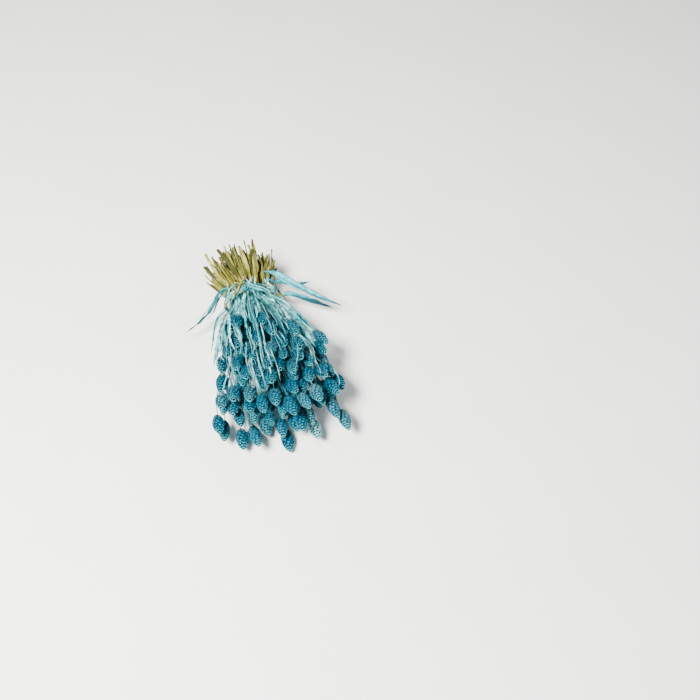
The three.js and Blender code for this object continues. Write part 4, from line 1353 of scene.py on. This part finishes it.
def winding(packing, width, strand, chance):
    """A flat strand wound round the neck: a rounded section carried along a helix on the neck's
    outline, which wanders a little and comes off the neck at its two ends."""
    turns, begin, pitch, lift, tint = strand
    outline = neck_outline(packing)
    count = int(turns * TIE_STEPS)
    index = (np.arange(count) + int(begin * TIE_STEPS)) % TIE_STEPS
    f = np.linspace(0, 1, count)
    tangent = unit(np.roll(outline, -1, axis=0) - np.roll(outline, 1, axis=0))[index]
    normal = np.stack([tangent[:, 1], 0 * f, -tangent[:, 0]], axis=-1)
    phases = chance.uniform(0, 2 * np.pi, 2)
    loose = lift + TIE_LOOSENESS * ripple(f * turns, phases, LOOSE_WAVE)
    from_ends = np.stack([f, 1 - f]) * count
    ends = TAIL_LIFT * np.exp(-from_ends / TAIL_STEPS).sum(axis=0)
    y = pitch * turns * (f - 0.5) + TIE_WANDER * ripple(f * turns, phases[::-1], WANDER_TURNS)
    centre = np.stack([outline[index, 0], y, outline[index, 1]], axis=-1)
    centre = centre + np.maximum(TIE_LOOSENESS, loose + ends)[:, None] * normal
    angle = round_angles(TIE_SIDES)
    taper = np.minimum(1, TAPER_START + from_ends.min(axis=0) / TAPER_STEPS)[:, None, None]
    wide = np.array([0, width / 2, 0]) * taper
    circles = on_circle(angle, wide, normal[:, None] * TIE_THICKNESS / 2)
    rings = centre[:, None] + circles
    return carried(with_marks(rings, (f * turns)[:, None], np.cos(angle[..., 0]), tint, 0))


# Materials


def dye(red, green, blue):
    """A colour given in the usual 0 to 255 as shader light: each part raised to the power 2.2."""
    return tuple((part / 255) ** 2.2 for part in (red, green, blue))


class Finish:
    """A new material whose nodes are added one by one."""

    def __init__(self, name, roughness, shine=0.25):
        self.material = bpy.data.materials.new(name)
        self.material.use_nodes = True
        self.tree = self.material.node_tree
        self.skin = self.tree.nodes["Principled BSDF"]
        self.skin.inputs["Roughness"].default_value = roughness
        self.skin.inputs["Specular IOR Level"].default_value = shine

    def add(self, kind, inputs, **settings):
        """A node with its settings, and with each input linked to a socket or set to a value."""
        node = self.tree.nodes.new(kind)
        for name, value in settings.items():
            setattr(node, name, value)
        for key, value in inputs.items():
            if isinstance(value, bpy.types.NodeSocket):
                self.tree.links.new(value, node.inputs[key])
            else:
                node.inputs[key].default_value = value
        return node

    def marks(self, names):
        """The named marks of the surface's points."""
        return [self.add("ShaderNodeAttribute", {}, attribute_name=name).outputs["Fac"] for name in names]

    def ramp(self, value, low, high):
        """A number eased from 0 at low to 1 at high."""
        inputs = {"Value": value, "From Min": low, "From Max": high}
        return self.add("ShaderNodeMapRange", inputs, interpolation_type="SMOOTHSTEP").outputs["Result"]

    def spread(self, value, low, high):
        """A number from 0 to 1 spread evenly from low to high."""
        inputs = {"Value": value, "To Min": low, "To Max": high}
        return self.add("ShaderNodeMapRange", inputs).outputs["Result"]

    def number(self, operation, *values):
        """Numbers put together, or one number changed, by an operation."""
        return self.add("ShaderNodeMath", dict(enumerate(values)), operation=operation).outputs[0]

    def times(self, first, second):
        """The product of two numbers."""
        return self.number("MULTIPLY", first, second)

    def mix(self, share, first, second):
        """A colour between two."""
        colors = [c if isinstance(c, bpy.types.NodeSocket) else (*c, 1) for c in (first, second)]
        inputs = {0: share, 6: colors[0], 7: colors[1]}
        return self.add("ShaderNodeMix", inputs, data_type="RGBA").outputs[2]

    def noise(self, stretch):
        """Noise on the object's own place, in cycles to the metre along each axis."""
        place = self.add("ShaderNodeTexCoord", {}).outputs["Object"]
        point = self.add("ShaderNodeMapping", {"Vector": place, "Scale": stretch}).outputs["Vector"]
        inputs = {"Vector": point, "Scale": 1.0, "Detail": 3.0}
        return self.add("ShaderNodeTexNoise", inputs).outputs["Fac"]

    def finish(self, color, height=None, depth=0.0):
        """Gives the colour to the skin, and a height as fine relief of a depth in metres."""
        self.tree.links.new(color, self.skin.inputs["Base Color"])
        if height is not None:
            inputs = {"Height": height, "Distance": depth, "Strength": 1.0}
            relief = self.add("ShaderNodeBump", inputs).outputs["Normal"]
            self.tree.links.new(relief, self.skin.inputs["Normal"])
        return self.material


def scale_finish(settings):
    """Scales: near black at their base, a painted shade where each lies under the next, teal in the middle,
    and pale at the edges and the tip, partly their own pale edges and partly painted highlight. The
    painted shade and highlight grow towards the head's tip, and a faded head goes towards grey aqua."""
    finish = Finish("dyed_scales", roughness=0.55, shine=0.12)
    rise, edge, tint, fade, place = finish.marks(HEAD_MARKS)
    fades = SCALE_FADES
    body = finish.mix(finish.ramp(place, *fades.root), settings.root_color, settings.scale_color)
    body = finish.mix(finish.times(fade, fades.faded), body, settings.faded_color)
    # Painted shade: the gap colour at the base of each scale, over more of it towards the head's tip.
    shade_ends = (finish.spread(place, *ends) for ends in (fades.shade_first, fades.shade_last))
    body = finish.mix(finish.ramp(rise, *shade_ends), settings.gap_shade_color, body)
    waves_across = finish.number("COSINE", finish.times(edge, settings.nerves))
    nerve = finish.times(finish.ramp(waves_across, *fades.nerve), finish.ramp(rise, *fades.nerve_rise))
    body = finish.mix(finish.times(nerve, fades.nerve_depth), body, settings.nerve_color)
    # Pale margins and ends, partly the scales' own pale edges and partly painted highlight, laid on only
    # towards the head's tip.
    margin = finish.times(finish.ramp(edge, *fades.margin), finish.ramp(rise, *fades.margin_and_highlight_rise))
    pale = finish.number("MAXIMUM", margin, finish.ramp(rise, *fades.end))
    pale = finish.times(pale, finish.ramp(tint, *fades.pale_tint))
    pale = finish.times(pale, finish.ramp(place, *fades.pale_place))
    edge_and_highlight_color = finish.mix(finish.ramp(place, *fades.tip), settings.edge_and_highlight_color, settings.tip_color)
    body = finish.mix(pale, body, edge_and_highlight_color)
    grain = finish.noise(GRAIN)
    speckle = finish.times(finish.ramp(grain, *fades.grain), fades.grain_depth)
    body = finish.mix(speckle, body, settings.nerve_color)
    return finish.finish(body, grain, settings.relief)


def straw_finish(name, settings):
    """Stems: straw on the cut side of the tie and pale aqua on the other, mottled along their length,
    with whiter sheaths and knots. The inside of the hollow ends and of the sheath mouths is a painted
    shade, and the tints that the stems bring carry painted shade deep in the bunch."""
    finish = Finish(name, roughness=0.6)
    along, tint, pale, inside = finish.marks(STEM_MARKS)
    fibre = finish.noise(FIBRES)
    blotch = finish.noise(STEM_MOTTLE)
    fades = STRAW_FADES
    straw = finish.mix(finish.ramp(tint, *fades.olive), settings.straw_color, settings.olive_color)
    straw = finish.mix(finish.times(pale, finish.ramp(blotch, *fades.husk)), straw, settings.husk_color)
    aqua = finish.mix(tint, settings.stem_color, settings.stem_dark_and_shade_color)
    aqua = finish.mix(finish.times(pale, fades.sheath), aqua, settings.sheath_color)
    uneven = finish.number("ADD", along, finish.times(finish.number("SUBTRACT", blotch, 0.5), DYE_SHIFT))
    dyed = finish.ramp(uneven, *DYE_END)
    color = finish.mix(dyed, straw, aqua)
    fibre_color = finish.mix(dyed, settings.olive_color, settings.stem_dark_and_shade_color)
    fibres = finish.times(finish.ramp(fibre, *fades.fibre), fades.fibre_depth)
    color = finish.mix(fibres, color, fibre_color)
    # Painted shade inside the hollows.
    color = finish.mix(inside, color, settings.hollow_shade_color)
    return finish.finish(color, fibre, settings.relief)


def blade_finish(name, settings):
    """Leaves: pale aqua with finer veins and darker patches, and straw for the dry ones."""
    finish = Finish(name, roughness=0.55)
    along, across, tint, dry = finish.marks(BLADE_MARKS)
    veins = finish.number("SINE", finish.times(across, settings.veins))
    blotch = finish.noise(BLADE_MOTTLE)
    fades = BLADE_FADES
    aqua = finish.mix(finish.ramp(tint, *fades.leaf), settings.leaf_pale_color, settings.leaf_color)
    aqua = finish.mix(finish.ramp(tint, *fades.dark), aqua, settings.leaf_dark_color)
    patch = finish.times(finish.ramp(blotch, *fades.patch), fades.patch_depth)
    aqua = finish.mix(patch, aqua, settings.leaf_dark_color)
    tip = finish.times(finish.ramp(along, *fades.tip), finish.ramp(tint, *fades.tip_tint))
    aqua = finish.mix(tip, aqua, settings.tip_color)
    straw = finish.mix(finish.ramp(tint, *fades.olive), settings.straw_color, settings.olive_color)
    husk_patch = finish.times(finish.ramp(blotch, *fades.husk), finish.ramp(tint, *fades.husk_tint))
    straw = finish.mix(husk_patch, straw, settings.husk_color)
    color = finish.mix(dry, aqua, straw)
    vein_color = finish.mix(dry, settings.vein_color, settings.olive_color)
    color = finish.mix(finish.times(finish.ramp(veins, *fades.vein), fades.vein_depth), color, vein_color)
    return finish.finish(color, veins, settings.relief)


# Settings


def color_property(name, description, *default):
    """A colour that a user can change."""
    return bpy.props.FloatVectorProperty(
        name=name, description=description, default=dye(*default), size=3, min=0, max=1, subtype="COLOR"
    )


def length_property(name, description, default):
    """A length that a user can change, in metres."""
    return bpy.props.FloatProperty(
        name=name, description=description, default=default, min=0, unit="LENGTH", subtype="DISTANCE"
    )


def count_property(name, description, default, low, high):
    """A whole number that a user can change."""
    return bpy.props.IntProperty(name=name, description=description, default=default, min=low, max=high)


class HeadSettings(bpy.types.PropertyGroup):
    """Sizes and colours of the seed heads."""

    scale_rows: count_property("Rows", "Rows of scales from stem to tip of a head", 9, 3, 12)
    scales_around: count_property("Scales in a row", "Scales round a head in each row", 8, 4, 10)
    nerves: count_property("Nerves", "How close the nerves of a scale are", 19, 0, 60)
    scale_length: length_property("Scale length", "Length of a scale from base to tip", 0.0088)
    scale_width: length_property("Scale width", "Greatest width of a scale", 0.0074)
    scale_keel: length_property("Scale keel", "Height of a scale's keel over its edges", 0.0009)
    relief: length_property("Relief", "Depth of the grain of the scales", 0.00012)
    scale_color: color_property("Scales", "Colour of the middle of a scale", 0, 82, 104)
    root_color: color_property("Near the stem", "Colour of the scales near the stem", 0, 76, 84)
    # Painted shade at the base of the scales, at the roots of the bristles and in the core.
    gap_shade_color: color_property("Gaps", "Colour at the base of the scales", 0, 9, 15)
    nerve_color: color_property("Nerve colour", "Colour of the nerves of a scale", 0, 56, 72)
    # Pale edges of the scales, partly their own colour and partly painted highlight.
    edge_and_highlight_color: color_property("Edges", "Colour of a scale's edges and tip", 20, 222, 255)
    # Pale edges round a head's tip, partly their own colour and partly painted highlight.
    tip_color: color_property("Tip", "Colour of the edges round the tip of a head", 118, 250, 255)
    faded_color: color_property("Faded", "Colour that the palest heads go towards", 152, 218, 222)


class StemSettings(bpy.types.PropertyGroup):
    """Colours of the stems, their sheaths and their cut ends."""

    relief: length_property("Relief", "Depth of the fibres", 0.0002)
    stem_color: color_property("Stems", "Colour of the paler stems", 140, 240, 242)
    # Also the painted shade of the inner stems, which their tint pushes towards this colour.
    stem_dark_and_shade_color: color_property("Darker stems", "Colour of the darker stems and fibres", 28, 94, 102)
    sheath_color: color_property("Sheaths", "Colour of the sheaths and knots", 180, 255, 255)
    straw_color: color_property("Straw", "Colour of the cut ends", 119, 113, 34)
    olive_color: color_property("Olive straw", "Colour of the darker cut ends", 56, 58, 6)
    husk_color: color_property("Husks", "Colour of the sheaths round the cut ends", 158, 151, 78)
    # Painted shade inside the straws, the stubs and the sheath mouths.
    hollow_shade_color: color_property("Hollow", "Colour inside a straw", 30, 24, 4)


class LeafSettings(bpy.types.PropertyGroup):
    """Veins and colours of the leaves."""

    veins: count_property("Veins", "How close the veins of a blade are", 25, 0, 60)
    relief: length_property("Relief", "Depth of the veins", 0.00012)
    leaf_pale_color: color_property("Pale leaves", "Colour of the palest leaves", 184, 255, 255)
    leaf_color: color_property("Leaves", "Colour of most leaves", 50, 180, 188)
    leaf_dark_color: color_property("Darker leaves", "Colour of the darker leaves and patches", 16, 90, 98)
    vein_color: color_property("Vein colour", "Colour between the veins", 50, 128, 134)
    tip_color: color_property("Tips", "Colour of the ends of the darkest leaves", 0, 50, 62)
    straw_color: color_property("Dry leaves", "Colour of the dry blades", 119, 115, 34)
    olive_color: color_property("Darker dry leaves", "Colour of the darker dry blades", 54, 58, 6)
    husk_color: color_property("Dry patches", "Colour of the paler patches of dry blades", 168, 160, 90)


class TieSettings(bpy.types.PropertyGroup):
    """Sizes of the strands that tie the bunch."""

    strand_width: length_property("Strand", "Width of the pale strand", 0.0038)
    thin_width: length_property("Thin strand", "Width of the thinner, darker strand", 0.0016)


class StageSettings(bpy.types.PropertyGroup):
    """The floor and the camera."""

    floor_color: color_property("Floor", "Colour of the floor", 238, 237, 234)
    shade_color: color_property("Floor shade", "Colour of the faint clouds of the floor", 206, 206, 205)
    floor_size: length_property("Floor size", "Side of the square floor", 8.0)
    distance: length_property("Distance", "From the camera to the middle of the bunch", 1.5)


# Pieces


def put(name, parts, marks, material, node):
    """Puts parts into one smooth mesh in metres at their place in the frame, with their marks as
    attributes, and lets it ride on the bunch and stand for its node."""
    points, triangles = joined_parts(parts)
    low, high = (np.array(corner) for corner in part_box("tie_band"))
    shift = (low + high) / 2 * (1, 1, 0)
    places = points[:, :3] * MM + shift
    places[:, 2] = np.maximum(places[:, 2], 0)
    mesh = bpy.data.meshes.new(name)
    mesh.vertices.add(len(places))
    mesh.vertices.foreach_set("co", places.ravel())
    mesh.loops.add(triangles.size)
    mesh.loops.foreach_set("vertex_index", triangles.ravel().astype(np.int32))
    mesh.polygons.add(len(triangles))
    mesh.polygons.foreach_set("loop_start", np.arange(0, triangles.size, 3, dtype=np.int32))
    mesh.polygons.foreach_set("use_smooth", np.ones(len(triangles), bool))
    for column, mark in enumerate(marks, start=3):
        values = np.ascontiguousarray(points[:, column], dtype=np.float32)
        mesh.attributes.new(mark, "FLOAT", "POINT").data.foreach_set("value", values)
    mesh.update(calc_edges=True)
    if mesh.validate():
        raise RuntimeError(f"{name} has broken faces")
    mesh.materials.append(material)
    piece = bpy.data.objects.new(name, mesh)
    bpy.context.scene.collection.objects.link(piece)
    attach(piece, "root")
    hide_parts(node)


@functools.lru_cache
def bunch():
    """The packed bunch, worked out once: its stems and leaves in their settled places."""
    draws = Draws(LAYOUT_SEED)
    stems = make_stems(draws)
    packing = Packing(stems, make_leaves(draws))
    packing.relax()
    for i, strand in enumerate(stems):
        strand.spray = f"spray_{i // len(CELL_CORNERS) + 1:02d}"
    return packing


def sprays():
    """The sprays by name, each with its four stems."""
    groups = {}
    for strand in bunch().stems:
        groups.setdefault(strand.spray, []).append(strand)
    return groups


def nearest_spray(point):
    """The spray whose stem is nearest to a point, at the point's own distance from the tie."""
    packing = bunch()
    return min(packing.stems, key=lambda s: np.linalg.norm(packing.at(s, -point[1]) - point)).spray


def chance_of(name, kind):
    """A random generator of a spray's or leaf's own, always the same."""
    return np.random.default_rng([SHAPE_SEED, kind, *name.encode()])


class HeadsOperator(bpy.types.Operator):
    """Make the seed heads of every spray"""

    bl_idname = "phalaris.heads"
    bl_label = "Seed heads"

    def execute(self, context):
        settings = context.scene.phalaris_heads
        material = scale_finish(settings)
        for name, stems in sprays().items():
            chance = chance_of(name, 1)
            parts = [part for strand in stems for part in head_parts(strand, settings, chance)]
            put(f"{name}_heads", parts, HEAD_MARKS, material, name)
        return {"FINISHED"}


class StemsOperator(bpy.types.Operator):
    """Make the stems of every spray, with their sheaths, husks and withered blades"""

    bl_idname = "phalaris.stems"
    bl_label = "Stems"

    def execute(self, context):
        stem_material = straw_finish("dyed_straw", context.scene.phalaris_stems)
        blade_material = blade_finish("withered_blades", context.scene.phalaris_leaves)
        for name, stems in sprays().items():
            chance = chance_of(name, 2)
            dressed = [dressed_stem(strand, chance) for strand in stems]
            straws, blades = (sum(parts, []) for parts in zip(*dressed))
            put(f"{name}_stems", straws, STEM_MARKS, stem_material, name)
            put(f"{name}_blades", blades, BLADE_MARKS, blade_material, name)
        return {"FINISHED"}


class LeavesOperator(bpy.types.Operator):
    """Make the leaves along the bunch, the inner ones and the dry blades at the cut ends"""

    bl_idname = "phalaris.leaves"
    bl_label = "Leaves"

    def execute(self, context):
        material = blade_finish("dyed_blades", context.scene.phalaris_leaves)
        counts = {}
        for leaf in bunch().leaves:
            counts[leaf.name] = counts.get(leaf.name, 0) + 1
            name = f"{leaf.name}_{counts[leaf.name]:02d}"
            part = packed_leaf(bunch(), leaf, chance_of(name, 3))
            node = leaf.host.spray if leaf.name == "inner_leaf" else name
            put(f"{name}_blade", [part], BLADE_MARKS, material, node)
        return {"FINISHED"}


class SkirtOperator(bpy.types.Operator):
    """Make the leaves that hang over the heads from the neck, and those that cross the neck"""

    bl_idname = "phalaris.skirt"
    bl_label = "Skirt"

    def execute(self, context):
        material = blade_finish("skirt_blades", context.scene.phalaris_leaves)
        skin = skin_of(bunch())
        chance = chance_of("skirt", 6)
        groups = {}
        for make, kind in ((skirt_blade, SKIRT), (thread, THREAD), (collar_blade, COLLAR)):
            for _ in range(kind.count):
                part = make(skin, chance)
                groups.setdefault(nearest_spray(part[0][0, :3]), []).append(part)
        for name, parts in sorted(groups.items()):
            put(f"{name}_skirt", parts, BLADE_MARKS, material, name)
        return {"FINISHED"}


class LooseLeavesOperator(bpy.types.Operator):
    """Make the loose leaves that reach out to the sides"""

    bl_idname = "phalaris.loose_leaves"
    bl_label = "Loose leaves"

    def execute(self, context):
        material = blade_finish("loose_blades", context.scene.phalaris_leaves)
        for name, (half_width, tint, places) in LOOSE_LEAVES.items():
            chance = chance_of(name, 4)
            places = np.array(places, float)
            parts = [loose_leaf(bunch(), places, LOOSE_SHARE * half_width, tint, chance)]
            for _ in range(round(half_width / COMPANION_SHARE)):
                narrow = half_width * chance.uniform(*COMPANION_WIDTHS)
                strayed = companion_places(places, chance)
                parts.append(loose_leaf(bunch(), strayed, narrow, chance.uniform(*COMPANION_TINTS), chance))
            put(f"{name}_blades", parts, BLADE_MARKS, material, name)
        return {"FINISHED"}


class TieOperator(bpy.types.Operator):
    """Make the strands that tie the bunch"""

    bl_idname = "phalaris.tie"
    bl_label = "Tie"

    def execute(self, context):
        settings = context.scene.phalaris_tie
        material = blade_finish("tie_strands", context.scene.phalaris_leaves)
        chance = chance_of("tie", 5)
        strands = ((settings.strand_width, WIDE_STRAND), (settings.thin_width, THIN_STRAND))
        parts = [winding(bunch(), width / MM, strand, chance) for width, strand in strands]
        put("tie_strands", parts, BLADE_MARKS, material, "tie_band")
        return {"FINISHED"}


# The stage


def soft_light(name, place, size, power, color):
    """A square soft light at a place, aimed at the middle of the bunch."""
    light = bpy.data.lights.new(name, "AREA")
    light.size = size
    light.energy = power
    light.color = color
    lamp = bpy.data.objects.new(name, light)
    lamp.location = place
    lamp.rotation_euler = (Vector(VIEW_POINT) - Vector(place)).to_track_quat("-Z", "Y").to_euler()
    bpy.context.scene.collection.objects.link(lamp)


def photo_camera(distance):
    """A camera that looks down on the bunch from its seed heads, turned so that the middle of the
    bunch stands left of the picture's middle and a little above it."""
    azimuth, elevation = math.radians(VIEW_AZIMUTH), math.radians(VIEW_ELEVATION)
    level = math.cos(elevation)
    back = Vector((math.sin(azimuth) * level, -math.cos(azimuth) * level, math.sin(elevation)))
    camera = bpy.data.cameras.new("camera")
    camera.sensor_width = SENSOR
    camera.lens = SENSOR * VIEW_FOCAL / PICTURE
    view = bpy.data.objects.new("camera", camera)
    view.location = Vector(VIEW_POINT) + back * distance
    turn, tilt = (math.atan((PICTURE / 2 - pixel) / VIEW_FOCAL) for pixel in VIEW_AT)
    aim = (-back).to_track_quat("-Z", "Y") @ Euler((-tilt, -turn, 0)).to_quaternion()
    view.rotation_euler = aim.to_euler()
    bpy.context.scene.collection.objects.link(view)
    bpy.context.scene.camera = view


def plain_floor(settings):
    """A square floor in a pale colour with faint clouds."""
    half = settings.floor_size / 2
    mesh = bpy.data.meshes.new("floor")
    corners = [(i * half, k * half, 0) for i, k in CELL_CORNERS]
    mesh.from_pydata(corners, [], [(0, 1, 2, 3)])
    finish = Finish("floor", roughness=0.7)
    cloud = finish.times(finish.ramp(finish.noise(FLOOR_CLOUDS), *CLOUD_FADE), CLOUD_DEPTH)
    mesh.materials.append(finish.finish(finish.mix(cloud, settings.floor_color, settings.shade_color)))
    floor = bpy.data.objects.new("floor", mesh)
    bpy.context.scene.collection.objects.link(floor)


class StageOperator(bpy.types.Operator):
    """Make the floor, the lights and the camera"""

    bl_idname = "phalaris.stage"
    bl_label = "Stage"

    def execute(self, context):
        plain_floor(context.scene.phalaris_stage)
        for name, light in LIGHTS.items():
            soft_light(name, *light)
        world = bpy.data.worlds.new("studio")
        world.use_nodes = True
        background = world.node_tree.nodes["Background"]
        background.inputs["Color"].default_value = SKY_COLOR
        background.inputs["Strength"].default_value = SKY_STRENGTH
        context.scene.world = world
        photo_camera(context.scene.phalaris_stage.distance)
        return {"FINISHED"}


class PhalarisPanel(bpy.types.Panel):
    """Lists the steps that build the bunch and its sizes and colours"""

    bl_idname = "VIEW3D_PT_phalaris"
    bl_label = "Dried phalaris bunch"
    bl_space_type = "VIEW_3D"
    bl_region_type = "UI"
    bl_category = "Phalaris"

    def draw(self, context):
        for operator in OPERATORS:
            self.layout.operator(operator.bl_idname)
        for attribute, group in SETTINGS.items():
            box = self.layout.box()
            box.label(text=group.__doc__)
            for name in group.__annotations__:
                box.prop(getattr(context.scene, attribute), name)


OPERATORS = (
    HeadsOperator,
    StemsOperator,
    LeavesOperator,
    SkirtOperator,
    LooseLeavesOperator,
    TieOperator,
    StageOperator,
)
SETTINGS = {
    "phalaris_heads": HeadSettings,
    "phalaris_stems": StemSettings,
    "phalaris_leaves": LeafSettings,
    "phalaris_tie": TieSettings,
    "phalaris_stage": StageSettings,
}


def register():
    """Makes the settings, the operators and the panel known, and gives the settings to the scene."""
    for group in (*SETTINGS.values(), *OPERATORS, PhalarisPanel):
        bpy.utils.register_class(group)
    for attribute, group in SETTINGS.items():
        setattr(bpy.types.Scene, attribute, bpy.props.PointerProperty(type=group))


def unregister():
    """Takes back all that register did."""
    for attribute in SETTINGS:
        delattr(bpy.types.Scene, attribute)
    for group in reversed((*SETTINGS.values(), *OPERATORS, PhalarisPanel)):
        bpy.utils.unregister_class(group)


def main():
    """Builds the pieces and the stage."""
    register()
    bpy.ops.phalaris.heads()
    bpy.ops.phalaris.stems()
    bpy.ops.phalaris.leaves()
    bpy.ops.phalaris.skirt()
    bpy.ops.phalaris.loose_leaves()
    bpy.ops.phalaris.tie()
    bpy.ops.phalaris.stage()


if __name__ == "__main__":
    main()
